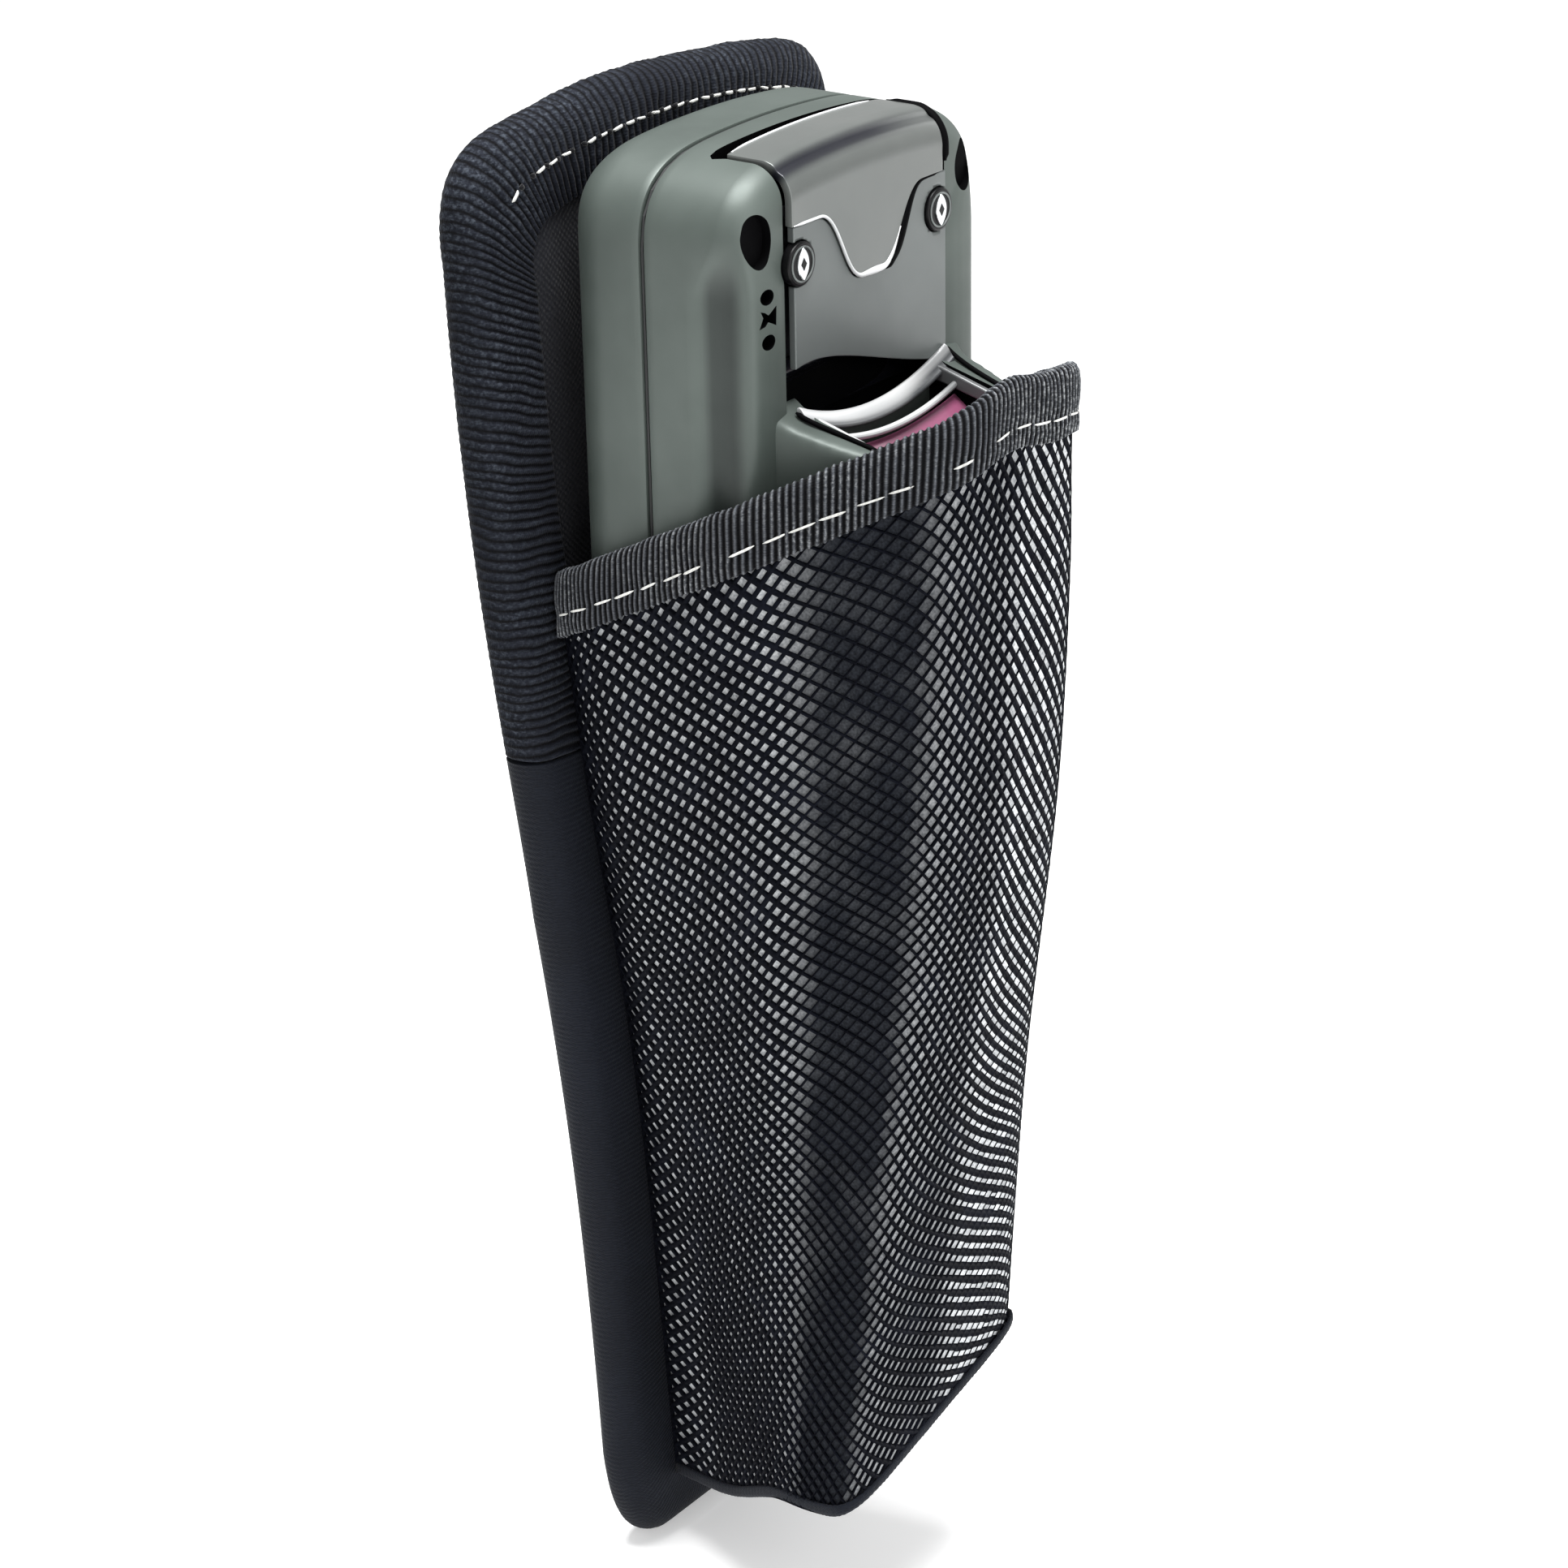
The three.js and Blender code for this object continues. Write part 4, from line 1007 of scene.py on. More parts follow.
def binding(name, wanted, pitch, height, kind, node, seed):
    """The tape folded over the panel's edge where wanted(z) says so; its ribs are real."""
    lines = {inset: foot_to_foot(panel_half(inset, FINE)) for inset in np.unique(TAPE_FINE[:, 0])}
    whole = foot_to_foot(panel_half(0, FINE))
    s = lengths(whole)
    keep = wanted(whole[:, 1])
    first, last = np.flatnonzero(np.diff(keep.astype(int))) + 1
    index = np.arange(first, last)
    if keep[0]:
        index = np.concatenate([np.arange(last, len(s) - 1), np.arange(first)])
    along = np.unwrap(s[index], period=s[-1])
    along = along - along[0]
    even = np.arange(0, along[-1], pitch / 5.2)
    points, uv = np.zeros((len(even), len(TAPE_FINE), 3)), np.zeros((len(even), len(TAPE_FINE), 2))
    slide = wobble(even, seed, 0.55)
    for k, (inset, y, outside) in enumerate(TAPE_FINE):
        x, z = sample(lines[inset][index], along, even).T
        lean = wobble(even + 2.2 * TAPE_RUN[k], seed + 1, 0.3)
        phase = 2 * np.pi * (even + slide + lean) / pitch
        swell = wobble(even, seed + 2, 0.125, ((0.09, 1), (0.33, 0.6))) + wobble(even + 31 * k, seed + 3, 0.08)
        head = ease(z, 62, 72) * (height > 0.1)
        creases = wobble(1.9 * even + 2.3 * TAPE_RUN[k], seed + 5, 0.2)
        creases += wobble(1.3 * even - 1.7 * TAPE_RUN[k], seed + 6, 0.2)
        rise = outside * (height * (1 - 0.6 * head) * np.sin(phase) + swell * height * 1.2 + head * creases)
        before, after = TAPE_FINE[k - 1, :2], TAPE_FINE[(k + 1) % len(TAPE_FINE), :2]
        back, over = (after - before) / (np.linalg.norm(after - before) + 1e-9)
        across = np.column_stack([np.gradient(z), -np.gradient(x)])
        across /= np.linalg.norm(across, axis=1)[:, None] + 1e-9
        points[:, k, 0] = x + across[:, 0] * over * rise
        points[:, k, 1] = y + back * rise
        points[:, k, 2] = z + across[:, 1] * over * rise
        uv[:, k, 0], uv[:, k, 1] = (even + slide + lean) * MM, TAPE_RUN[k] * MM
    o = tube(name, points, HOLSTER, uv)
    finish(o, kind, "holster", f"{kind}_tape", node)


binding("binding_ribbed", lambda z: z > CHANGE_Z + 0.3, 2.1, 0.26, "ribbed", "edge_binding_upper", 3)
binding("binding_smooth", lambda z: z < CHANGE_Z, 1.2, 0.05, "smooth", "edge_binding_lower", 5)

# The lining on its foam: one padded layer, remeshed, blown up a little as cloth, and held to a small swell.
PAD_BACK, PAD_FRONT, PAD_SWELL = -8.2, -12.0, 0.9
pad = prism("panel_pad", mirrored(panel_half(2.6, (14, 12, 36, 34, 10, 5))), PAD_BACK, PAD_FRONT, HOLSTER)
remesh(pad, 3.4)
settle(pad)
start = points_of(pad)
c = pad.modifiers.new("cloth", "CLOTH")
c.settings.quality = 4
c.settings.mass = 0.2
c.settings.use_pressure = True
c.settings.uniform_pressure_force = 4
c.settings.effector_weights.gravity = 0
c.point_cache.frame_start, c.point_cache.frame_end = 1, 20
for f in range(1, 21):
    bpy.context.scene.frame_set(f)
settle(pad)
bpy.context.scene.frame_set(1)
move = points_of(pad) - start
size = np.linalg.norm(move, axis=1)[:, None] + 1e-12
move = move / size * PAD_SWELL * MM * np.tanh(size / (PAD_SWELL * MM))
near = start / MM - HOLSTER
crumple = wobble(near[:, 0] * 1.7 + near[:, 2] * 0.6, 21, 0.16)
crumple += wobble(near[:, 2] * 1.3 - near[:, 0], 22, 0.14)
for side in (-1, 1):
    dx, dz = near[:, 0] - side * 47, near[:, 2] - 66
    reach, angle = np.hypot(dx, dz), np.arctan2(dz, -side * dx)
    folds = np.sin(17 * angle + 0.06 * reach) + 0.6 * np.sin(29 * angle + 1.3)
    crumple += 0.42 * folds * np.exp(-reach / 34) * ease(reach, 0, 6) * (near[:, 1] < PAD_BACK)
move[:, 1] += np.sign(near[:, 1] - (PAD_BACK + PAD_FRONT) / 2) * crumple * MM
pad.data.vertices.foreach_set("co", (start + move).ravel())
sub = pad.modifiers.new("fine", "SUBSURF")
sub.levels = sub.render_levels = 1
settle(pad)
smooth(pad, 180)
finish(pad, "lining", "holster", "lining_cloth", "lining", "foam_core")


# The cloth over the back of the board: one thin sheet, a little loose between its bound edges.
half = resample(panel_half(2.4, FINE), 170)[1:-1]
share = np.linspace(-1, 1, 61)
cover_rows = np.zeros((len(half), len(share), 3))
cover_rows[..., 0], cover_rows[..., 2] = half[:, :1] * share, half[:, 1:]
x, z = cover_rows[..., 0], cover_rows[..., 2]
slack = 0.3 * (1 - share ** 2) + wobble(1.2 * z + 0.9 * x, 23, 0.12) + wobble(1.5 * x - 0.6 * z, 24, 0.1)
cover_rows[..., 1] = COVER_Y - 0.35 + slack * (1 - share ** 8)
panel_back = plate("panel_back", cover_rows, (0, 1.0, 0), 1.25, HOLSTER)
finish(panel_back, "nylon", "holster", "nylon_cloth", "back_cover")

# ------------------------------------------------------------------ holster: belt loop


def ribbon(name, line, normals, width_half, thickness, pitch):
    """A webbing strap along a line in Y and Z, with ribs across its width and a rolled selvedge."""
    left = [(-0.95, 0), (-0.985, 0.05), (-1, 0.35), (-0.985, 0.85), (-0.95, 1)]
    right = [(0.95, 1), (0.985, 0.85), (1, 0.35), (0.985, 0.05), (0.95, 0)]
    flat = np.linspace(-0.95, 0.95, 25)[1:-1]
    cross = np.array([*left[2:], *((c, 1) for c in flat), *right, *((-c, 0) for c in flat), *left[:2]])
    s = lengths(line)
    rib = 0.11 * np.sin(2 * np.pi * s / pitch)
    rings = np.zeros((len(line), len(cross), 3))
    rings[..., 0] = cross[:, 0] * width_half
    rise = cross[:, 1] * thickness + (cross[:, 1] - 0.5) * 2 * rib[:, None]
    rings[..., 1:] = line[:, None] + normals[:, None] * rise[..., None]
    uv = np.zeros((*rings.shape[:2], 2))
    uv[..., 0], uv[..., 1] = s[:, None] * MM, cross[:, 0] * width_half * MM
    return tube(name, rings, HOLSTER, uv, sharp=60)


loop_low, loop_high = span("belt_loop")
LOOP_X, LOOP_Z = loop_high[0], (loop_high[2] - loop_low[2]) / 2
foot_y, slot_y = COVER_Y + 0.35, loop_high[1] - HOLSTER[1] - 2.0
half = chain([
    bezier([(foot_y, LOOP_Z), (foot_y, 32)], 26),
    bezier([(foot_y, 32), (foot_y, 28.5), (slot_y, 28.8), (slot_y, 26)], 40),
])
strap = resample(chain([half, bezier([(slot_y, 26), (slot_y, -26)], 180), (half * [1, -1])[::-1]]), 330)
along = direction(strap)
loop = ribbon("belt_strap", strap, np.column_stack([-along[:, 1], along[:, 0]]), LOOP_X - 0.1, 1.95, 1.6)
finish(loop, "webbing", "holster", "ribbed_tape", "belt_loop")

# ------------------------------------------------------------------ holster: pouch

POUCH_BACK = -14.2
RIM_Z, RIM_SLOPE, BAND = -13.0, 0.505, 14.0
SEAMS = {
    "rim": [(40, POUCH_BACK), (44.5, -19), (44.5, -62), (21.3, -98.5)],
    "upper": [(33.5, POUCH_BACK), (40, -24), (42, -63), (24.2, -94.2)],
    "middle": [(22, POUCH_BACK), (30, -28), (35, -58), (25.9, -85.9)],
    "hem": [(12, POUCH_BACK), (18, -28), (28, -54), (32.6, -78)],
}
SEGMENTS = (8, 44, 44, 41, 44, 44, 8)


def seam_ring(level):
    """The pouch's outline at one level, with the softness of cloth at its corners."""
    left = [(-x, y) for x, y in SEAMS[level]]
    ring = left + [(x, y) for x, y in SEAMS[level]][::-1]
    line = chain([bezier([a, b], n) for a, b, n in zip(ring, ring[1:], SEGMENTS)])

    def relax(q):
        reach = 24
        head = 2 * q[0] - q[1:reach + 1][::-1]
        tail = 2 * q[-1] - q[-reach - 1:-1][::-1]
        return blurred(np.vstack([head, q, tail]), reach, 7.5)

    return relax(line + 0.75 * (line - relax(line)))


RINGS = [seam_ring(level) for level in ("rim", "upper", "middle", "hem")]
COUNT = len(RINGS[0])
RIM_CREST, HEM_Z, HEM_LIFT = 2.6, -236.5, 4.2
share = np.linspace(0, 1, COUNT)
crest = RIM_CREST * np.exp(-((share - 0.48) / 0.042) ** 2)
rim_z = RIM_Z + RIM_SLOPE * (POUCH_BACK - RINGS[0][:, 1]) + crest
from_middle = np.abs(share - 0.5)
lifted = np.exp(-((from_middle - 0.27) / 0.09) ** 2) + 0.42 * (1 - ease(from_middle, 0.1, 0.24))
hem_z = HEM_Z + 0.26 * RINGS[3][:, 0] + 0.43 * (POUCH_BACK - RINGS[3][:, 1]) + HEM_LIFT * lifted
LEVEL_Z = [rim_z, np.full(COUNT, -60.0), np.full(COUNT, -128.0), hem_z]


def pouch_at(z):
    """The pouch's outline where each of its columns is at its own height z; z is one row of heights."""
    out = np.zeros((COUNT, 2))
    h = [LEVEL_Z[k + 1] - LEVEL_Z[k] for k in range(3)]
    for axis in (0, 1):
        v = [r[:, axis] for r in RINGS]
        d = [(v[k + 1] - v[k]) / h[k] for k in range(3)]
        m = [d[0], (d[0] + d[1]) / 2, (d[1] + d[2]) / 2, d[2]]
        for k in range(3):
            inside = (z <= LEVEL_Z[k]) & (z >= LEVEL_Z[k + 1])
            if k == 0:
                inside |= z > LEVEL_Z[0]
            if k == 2:
                inside |= z < LEVEL_Z[3]
            t = (z - LEVEL_Z[k]) / h[k]
            a = (2 * t ** 3 - 3 * t ** 2 + 1) * v[k] + (t ** 3 - 2 * t ** 2 + t) * h[k] * m[k]
            b = (-2 * t ** 3 + 3 * t ** 2) * v[k + 1] + (t ** 3 - t ** 2) * h[k] * m[k + 1]
            out[inside, axis] = (a + b)[inside]
    return np.column_stack([out, z])


def ring_normals(ring):
    along = np.gradient(ring[:, :2], axis=0)
    along /= np.linalg.norm(along, axis=1)[:, None] + 1e-12
    return np.column_stack([along[:, 1], -along[:, 0], np.zeros(len(ring))]) * -1


ROWS = 190
v = np.linspace(0, 1, ROWS)
wall_top = rim_z - BAND + 2.5
wall = np.array([pouch_at(wall_top + (hem_z - wall_top) * t) for t in v])
around = lengths(wall[40])
centre = ring_normals(wall[60])
facing = np.sign((centre[:, :2] * (wall[60][:, :2] - [0, -50])).sum(1).mean())
wall_normals = np.array([ring_normals(r) * facing for r in wall])
down = wall[0, :, 2][None] - wall[..., 2]
slack = wobble(around[None] + down * 0.35, 31, 0.35, ((0.04, 1), (0.11, 0.5)))
pucker = np.exp(-down / 9) * wobble(around[None] + 0 * down, 32, 0.35, ((0.7, 1), (1.3, 0.6)))
ends = ease(around, 0, 9)[None] * ease(around[-1] - around, 0, 9)[None]
wall = wall + wall_normals * ((slack * ease(down, 0, 30) + pucker) * ends)[..., None]


def bend(u, w, seed, size):
    """Smooth random drift over a grid, nothing at its edges."""
    r = np.random.default_rng(seed)
    out = sum(r.uniform(0.4, 1) * np.sin(a * 6.28 * u + b * 6.28 * w + r.uniform(0, 6.28))
              for a, b in ((0.8, 1.1), (1.7, -1.3), (2.6, 1.9), (-3.4, 2.3)))
    return size * out * band(u, 0, 0.06, 0.94, 1) * band(w, 0, 0.06, 0.94, 1)


# The net is a lattice of cords: crossings where i + j is even, a hole round every odd point.
ACROSS_NET, DOWN_NET = 112, 116
CORD_HIGH, HOLE_DEEP, ROW_DROP = 0.3, 0.42, 0.075
# Shares across the net at which its left side, its front and its right side end or start.
LEFT_END, FRONT_START, FRONT_END, RIGHT_START = 0.27, 0.42, 0.58, 0.73


def spread(u):
    """How wide the net is pulled: widest round the two front corners, and bunched up across the front."""
    corner = band(u, LEFT_END - 0.06, LEFT_END + 0.04, FRONT_START - 0.06, FRONT_START)
    corner += band(u, FRONT_END, FRONT_END + 0.06, RIGHT_START - 0.04, RIGHT_START + 0.06)
    front = band(u, FRONT_START - 0.06, FRONT_START + 0.02, FRONT_END - 0.02, FRONT_END + 0.06)
    return 3.9 + 0.9 * corner - 0.9 * front


u_fine = np.linspace(0, 1, 4001)
pulled = np.cumsum(1 / spread(u_fine))
pulled = (pulled - pulled[0]) / (pulled[-1] - pulled[0])
i, j = np.meshgrid(np.arange(ACROSS_NET + 1), np.arange(DOWN_NET + 1), indexing="ij")
u = np.interp(np.linspace(0, 1, ACROSS_NET + 1), pulled, u_fine)[i]
w = (j / DOWN_NET).astype(float)
# The rows of holes slope down across the front and climb back along the right side.
w = w + ROW_DROP * band(u, 0.36, 0.58, 0.62, 0.97) * band(w, 0, 0.3, 0.5, 1)
u, w = u + bend(u, w, 33, 0.0016), w + bend(u, w, 34, 0.0035)


def on_wall(grid, u, w):
    """The wall's point at a share u across it and w down it."""
    c, r = np.clip(u, 0, 1) * (COUNT - 1), np.clip(w, 0, 1) * (ROWS - 1)
    c0, r0 = np.minimum(c.astype(int), COUNT - 2), np.minimum(r.astype(int), ROWS - 2)
    fc, fr = (c - c0)[..., None], (r - r0)[..., None]
    top = grid[r0, c0] * (1 - fc) + grid[r0, c0 + 1] * fc
    low = grid[r0 + 1, c0] * (1 - fc) + grid[r0 + 1, c0 + 1] * fc
    return top * (1 - fr) + low * fr


def taut(u):
    """The stretch just past the front's middle, where the light shows only the falling cords."""
    return band(u, 0.478, 0.515, 0.66, 0.73)


# For each stretch of the net: share of a hole's half width under the falling and the rising cords, and
# how much painted light the cloth in the holes shows.
SIDE, DARK, FRONT, TAUT = (0.36, 0.42, 0.60), (0.12, 0.12, 0.0), (0.30, 0.22, 0.42), (0.54, 0.03, 0.82)


def cords(u):
    """The three numbers above at a share u across the net."""
    left, far = 1 - ease(u, 0.24, 0.30), ease(u, 0.73, 0.79)
    dark = band(u, 0.24, 0.30, 0.375, 0.425)
    front = np.clip(1 - left - dark - taut(u) - far, 0, 1)
    shares = (left, dark, front, taut(u), far)
    return [float(np.dot(shares, column)) for column in zip(SIDE, DARK, FRONT, TAUT, SIDE)]


r = np.random.default_rng(35)
surface, normal = on_wall(wall, u, w), on_wall(wall_normals, u, w)
relief = 1 - 0.65 * taut(u)
cross = (i + j) % 2 == 0
number = np.full(i.shape, -1)
number[cross] = np.arange(cross.sum())
points = [surface[cross] + normal[cross] * (CORD_HIGH * relief[cross])[:, None]]
level = [np.zeros(cross.sum())]
faces, kinds = [], []
count = int(cross.sum())
for ci, cj in zip(*np.nonzero(~cross)):
    around_cell = [(ci + a, cj + b) for a, b in ((0, -1), (1, 0), (0, 1), (-1, 0))]
    around_cell = [q for q in around_cell if 0 <= q[0] <= ACROSS_NET and 0 <= q[1] <= DOWN_NET]
    ring_ids = [number[q] for q in around_cell]
    rim_points = np.array([surface[q] for q in around_cell])
    rim_normals = np.array([normal[q] for q in around_cell])
    falling, rising, painted_light = cords(u[ci, cj])
    falling, rising = (k * r.uniform(0.82, 1.2) for k in (falling, rising))
    n = len(around_cell)
    middle = rim_points.mean(0)
    if n == 4:
        over = (rim_points[0] + rim_points[1] - rim_points[2] - rim_points[3]) / 4
        along_cell = (rim_points[1] + rim_points[2] - rim_points[0] - rim_points[3]) / 4
        signs = np.array([(1, -1), (1, 1), (-1, 1), (-1, -1)], float)

        def inner_ring(grow):
            a, b = 1 - falling * grow, 1 - rising * grow
            return middle + signs[:, :1] * a * over + signs[:, 1:] * b * along_cell

        shallow, low_ring = inner_ring(0.8), inner_ring(1.15)
    else:
        shallow, low_ring = (middle + (rim_points - middle) * k for k in (0.62, 0.5))
    inner_normal = rim_normals.mean(0) * relief[ci, cj]
    points += [shallow + inner_normal * CORD_HIGH * 0.55, low_ring - inner_normal * HOLE_DEEP]
    level += [np.full(2 * n, painted_light * r.uniform(0.75, 1.2))]
    a, b = count + np.arange(n), count + n + np.arange(n)
    count += 2 * n
    for k in range(n):
        m = (k + 1) % n
        faces += [(ring_ids[k], ring_ids[m], a[m], a[k]), (a[k], a[m], b[m], b[k])]
        kinds += [0, 0]
    faces.append(tuple(b))
    kinds.append(1)
# The lining of the net, behind it: one plain grid that shares the lattice's border crossings.
inner_grid = on_wall(wall - wall_normals * 1.4, u[::2, ::2], w[::2, ::2])
points.append(inner_grid.reshape(-1, 3))
wide, tall = inner_grid.shape[:2]
level.append(np.zeros(wide * tall))
inner_ids = count + np.arange(wide * tall).reshape(wide, tall)
faces += [tuple(quad) for quad in grid_faces(wide, tall, start=count, flip=True)]
outer_ids = number[::2, ::2]
border = [(a, 0) for a in range(wide)] + [(wide - 1, b) for b in range(1, tall)]
border += [(a, tall - 1) for a in range(wide - 2, -1, -1)] + [(0, b) for b in range(tall - 2, 0, -1)]
for p, q in zip(border, border[1:] + border[:1]):
    faces.append((outer_ids[p], outer_ids[q], inner_ids[q], inner_ids[p]))
kinds += [0] * (len(faces) - len(kinds))
STRIPS = ("side_left", "corner_left", "front", "corner_right", "side_right")
pouch = mesh("pouch_net", np.concatenate(points), faces, HOLSTER, sharp=75)
finish(pouch, "net_cord,net_cell", "holster", "mesh_cloth", *[f"pouch_{strip}" for strip in STRIPS])
pouch.data.polygons.foreach_set("material_index", kinds)
store(pouch, "painted_light", np.concatenate(level))


def fold(name, line, normals, section, step, rib, pitch, kind, seed, nodes=()):
    """A tape folded over an edge of the pouch: line is that edge, section how far out and up each point is."""
    s = lengths(line)
    even = np.arange(0, s[-1], step)
    p, n = sample(line, s, even), unit(sample(normals, s, even))
    section = np.asarray(section, float)
    across = lengths(section[:, :2])
    slide = wobble(even, seed, 0.3)
    points, uv = np.zeros((len(even), len(section), 3)), np.zeros((len(even), len(section), 2))
    ends = ease(even, 0, 2.5) * ease(even[-1] - even, 0, 2.5)
    for k, (out, upward, outside) in enumerate(section):
        lean = 0.12 * across[k] * wobble(even, seed + 1, 0.35, ((0.02, 1), (0.05, 0.6)))
        phase = 2 * np.pi * (even + slide + lean) / pitch
        lift = outside * rib * (np.sin(phase) + wobble(even + 17 * k, seed + 2, 0.4, ((0.4, 1), (0.9, 0.7))))
        before, after = section[k - 1, :2], section[(k + 1) % len(section), :2]
        tangent = (after - before) / (np.linalg.norm(after - before) + 1e-9)
        facing_out = np.array([-tangent[1], tangent[0]])
        if facing_out @ (section[k, :2] - section[:, :2].mean(0)) < 0:
            facing_out = -facing_out
        points[:, k] = p + n * (out * (0.55 + 0.45 * ends) + lift * facing_out[0])[:, None]
        points[:, k, 2] += upward + lift * facing_out[1]
        uv[:, k, 0], uv[:, k, 1] = (even + slide + lean) * MM, across[k] * MM
    o = tube(name, points, HOLSTER, uv)
    finish(o, kind, "holster", f"{'ribbed' if kind == 'rim' else kind}_tape", *nodes)
    return p, n


rim_line = pouch_at(rim_z)
rim_normals = ring_normals(rim_line) * facing
RIM_SECTION = [
    (0.35, -BAND, 1), (0.75, -BAND + 0.3, 1), (0.95, -BAND + 2, 1), (1.0, -11, 1), (0.85, -9.3, 1),
    (1.05, -7.5, 1), (1.1, -5.5, 1), (1.05, -3.5, 1), (0.9, -1.6, 1), (0.5, -0.5, 1), (-0.2, 0.0, 1),
    (-1.0, -0.1, 1), (-1.7, -0.6, 1), (-2.1, -1.8, 1), (-2.2, -4, 1), (-2.2, -7, 1), (-2.1, -10, 1),
    (-2.0, -BAND + 0.4, 1), (-1.6, -BAND, 1), (-1.3, -BAND + 0.5, 0), (-1.25, -8, 0), (-0.9, -3, 0),
    (-0.1, -2.2, 0), (0.2, -4, 0), (0.2, -BAND + 0.6, 0),
]
rim_path, rim_out = fold("rim_tape_fold", rim_line, rim_normals, RIM_SECTION, 0.3, 0.24, 1.55, "rim", 41,
                         [f"rim_binding_{strip}" for strip in STRIPS])
hem_line = pouch_at(hem_z)
hem_normals = ring_normals(hem_line) * facing
HEM_SECTION = [
    (0.3, 2.8, 1), (0.7, 2.6, 1), (0.8, 1.8, 1), (0.8, 0.9, 1), (0.55, 0.2, 1), (0.0, -0.3, 1),
    (-0.8, -0.4, 1), (-1.5, 0.1, 1), (-1.9, 1.2, 1), (-2.0, 4.0, 1), (-2.0, 7.5, 1), (-1.9, 10.2, 1),
    (-1.5, 10.4, 1), (-1.42, 8, 0), (-1.4, 4, 0), (-1.2, 1.1, 0), (-0.6, 0.5, 0), (0.1, 0.8, 0), (0.15, 2.2, 0),
]
fold("hem_tape_fold", hem_line, hem_normals, HEM_SECTION, 0.6, 0.06, 1.4, "smooth", 51)

# Pouch floor: a cloth piece between the two sides of the hem, sagging in the middle.
ring = hem_line - hem_normals * 2.3
ring[:, 2] += 1.3
left_side, right_side = (side[:COUNT // 2 + 1:2] for side in (ring, ring[::-1]))
t = np.linspace(0, 1, 36)
floor_rows = left_side[:, None] * (1 - t)[None, :, None] + right_side[:, None] * t[None, :, None]
depth = np.sin(np.pi * t)[None] * np.sin(np.pi * np.linspace(0.02, 0.98, len(left_side)))[:, None]
floor_rows[..., 2] += 0.9 - 1.5 * depth + wobble(floor_rows[..., 0] * 3 + floor_rows[..., 1] * 2, 61, 0.25)
base = plate("pouch_bottom", floor_rows, (0, 0, 1.0), 1.1, HOLSTER, sharp=60)
finish(base, "nylon", "holster", "nylon_cloth", "pouch_floor")

# ------------------------------------------------------------------ stitching


def stitches(name, line, normals, pitch, length, thick, kind, seed, gap_share=0.04, shift=0.0):
    """A running stitch: short rounded lengths of thread that dip into the cloth at both ends."""
    r = np.random.default_rng(seed)
    s = lengths(line)
    points, faces, count = [], [], 0
    sides, rings = 7, 7
    angle = np.linspace(0, 2 * np.pi, sides, endpoint=False)[None, :, None]
    for centre in np.arange(pitch * (1 + shift), s[-1] - pitch, pitch):
        if r.random() < gap_share:
            continue
        long = length * r.uniform(0.8, 1.12)
        at = centre + r.uniform(-0.15, 0.15) * pitch
        t = np.linspace(-0.5, 0.5, rings)
        p, n = sample(line, s, at + long * t), unit(sample(normals, s, at + long * t))
        b = np.cross(direction(p), n)
        radius = thick * np.sqrt(np.clip(1 - (2.02 * t) ** 6, 0.05, 1)) * r.uniform(0.85, 1.15)
        p = p + n * (0.28 * thick - 1.3 * thick * (2 * t) ** 4)[:, None]
        p = p + b * (r.uniform(-0.3, 0.3) * t * 1.2)[:, None]
        loop = p[:, None] + radius[:, None, None] * (
            np.cos(angle) * b[:, None] * 1.25 + np.sin(angle) * n[:, None] * 0.8)
        points.append(loop.reshape(-1, 3))
        faces += tube_faces(rings, sides, count)
        count += rings * sides
    o = mesh(name, np.concatenate(points), faces, HOLSTER, sharp=180)
    return finish(o, kind, "holster", "ribbed_tape")


# Along the rim, about three fifths of the way down the tape.
seam = rim_path + rim_out * 1.12
seam[:, 2] -= 9.6 + wobble(lengths(rim_path), 71, 0.35, ((0.03, 1), (0.09, 0.5)))
stitches("rim_stitches", seam, rim_out, 6.4, 5.4, 0.2, "thread", 72, 0.14)

# Along the head of the panel: light thread, and dark blobs of painted shade for the holes that it goes through.
run = foot_to_foot(panel_half(6.8, FINE))
run = run[run[:, 1] > 62]
head_run = np.column_stack([run[:, 0], np.full(len(run), -14.12), run[:, 1]])
head_out = np.broadcast_to(OUTWARD, head_run.shape)
stitches("head_stitches", head_run, head_out, 4.0, 3.0, 0.27, "thread", 73, 0.1)
stitches("head_holes", head_run, head_out, 4.0, 1.1, 0.45, "dark_thread", 78, 0.1, 0.5)
# Box stitches that hold the belt loop to the panel.
x0, z0 = LOOP_X - 3, 2.3
for k, z in enumerate((35.0, -35.0)):
    corners = [(-x0, -z0), (x0, -z0), (x0, z0), (-x0, z0), (-x0, -z0), (x0, z0)]
    box_line = resample(np.array(corners) + [0, z], 700)
    line = np.column_stack([box_line[:, 0], np.full(len(box_line), foot_y + 2.05), box_line[:, 1]])
    inward = np.broadcast_to((0, 1.0, 0), line.shape)
    stitches(f"loop_stitches_{k + 1}", line, inward, 3.0, 2.2, 0.25, "dark_thread", 80 + k)

# ------------------------------------------------------------------ carried-over CAD nodes

KEPT = {
    "stiffener_board": "board", "seam_gasket": "rubber", "display_window": "glass",
    "display_module": "black", "keypad_membrane": "rubber", "main_board": "circuit", "battery_pack": "battery",
    "antenna_board": "circuit", "dock_connector": "black", "speaker": "can", "scan_engine": "black",
    **{n: "keys" for n in keys}, **{n: "screw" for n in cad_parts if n.startswith("housing_screw")},
}
for n, kind in KEPT.items():
    paint(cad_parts[n], kind)

# ------------------------------------------------------------------ floor, light and camera

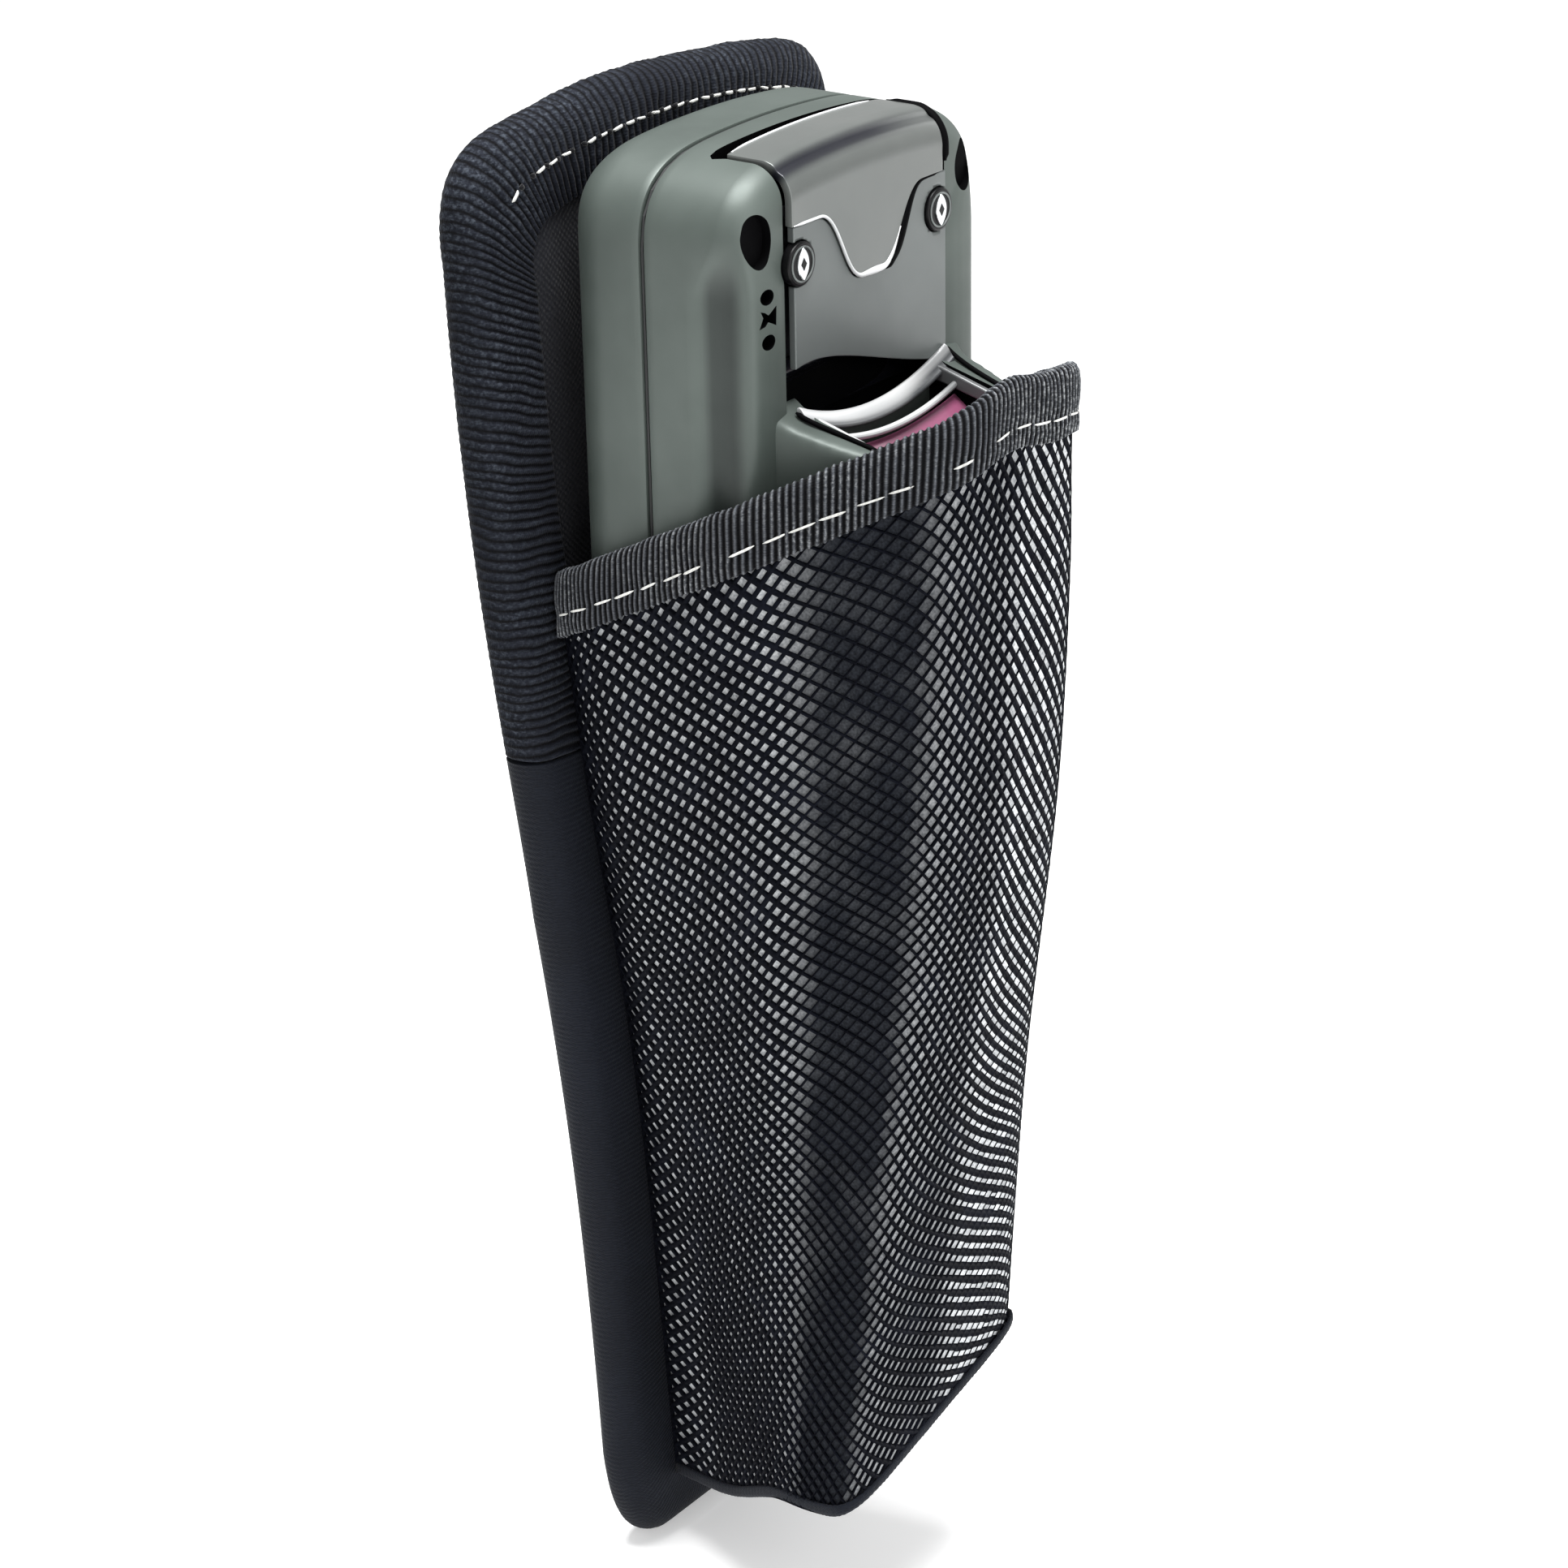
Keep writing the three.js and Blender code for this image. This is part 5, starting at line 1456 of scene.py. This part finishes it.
low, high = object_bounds()
floor_data = bpy.data.meshes.new("floor")
floor_data.from_pydata([(-6, -6, 0), (6, -6, 0), (6, 6, 0), (-6, 6, 0)], [], [(0, 1, 2, 3)])
floor = bpy.data.objects.new("floor", floor_data)
floor.location.z = low.z - 0.001
bpy.context.scene.collection.objects.link(floor)
g = Graph("pale_floor", 0.85)
g.set("Base Color", g.mix(g.remap(g.noise(3, 2), 0.3, 0.7), (0.9, 0.9, 0.9, 1), (0.93, 0.93, 0.93, 1)))
g.set("Emission Color", (1, 1, 1, 1))
g.set("Emission Strength", 0.28)
floor.data.materials.append(g.material)

world = bpy.data.worlds.new("studio")
bpy.context.scene.world = world
world.use_nodes = True
background = world.node_tree.nodes["Background"]
background.inputs["Color"].default_value = (1, 1, 1, 1)
background.inputs["Strength"].default_value = 0.47
bpy.context.scene.view_settings.view_transform = "Standard"

TARGET = Vector((0, -45, -60)) * MM
# Each lamp: where it stands (m), how wide and how high it is (m), and its power (W).
for name, place, size, power in (
    ("key", (-0.4, -1.15, 0.75), (0.8, 0.6), 4),
    ("back_fill", (-0.1, -1.7, 0.1), (1.6, 1.4), 14),
    ("overhead", (-0.1, -0.1, 1.3), (0.9, 0.6), 48),
    ("left_fill", (-1.3, -0.2, 0.3), (0.6, 1.2), 1),
    ("right_strip", (1.2, -0.35, 0.1), (0.3, 1.4), 2),
):
    data = bpy.data.lights.new(name, "AREA")
    data.shape = "RECTANGLE"
    data.size, data.size_y = size
    data.energy = power
    o = bpy.data.objects.new(name, data)
    o.location = Vector(place)
    o.rotation_mode = "QUATERNION"
    o.rotation_quaternion = (TARGET - o.location).to_track_quat("-Z", "Y")
    bpy.context.scene.collection.objects.link(o)

camera_data = bpy.data.cameras.new("camera")
camera_data.lens, camera_data.sensor_width = 89.44, 36
camera = bpy.data.objects.new("camera", camera_data)
# Its axes and its place, in the holster's millimetres, give the photo's view.
right, up = Vector((0.59499, -0.80351, -0.01919)), Vector((0.33227, 0.22416, 0.91616))
back = -Vector((0.73184, 0.55148, -0.40035))
camera.location = (Vector((-593.74, -486.90, 257.53)) + Vector(HOLSTER)) * MM
camera.rotation_mode = "QUATERNION"
camera.rotation_quaternion = Matrix([list(row) for row in zip(right, up, back)]).to_quaternion()
camera_data.clip_start, camera_data.clip_end = 0.01, 50
bpy.context.scene.collection.objects.link(camera)
bpy.context.scene.camera = camera
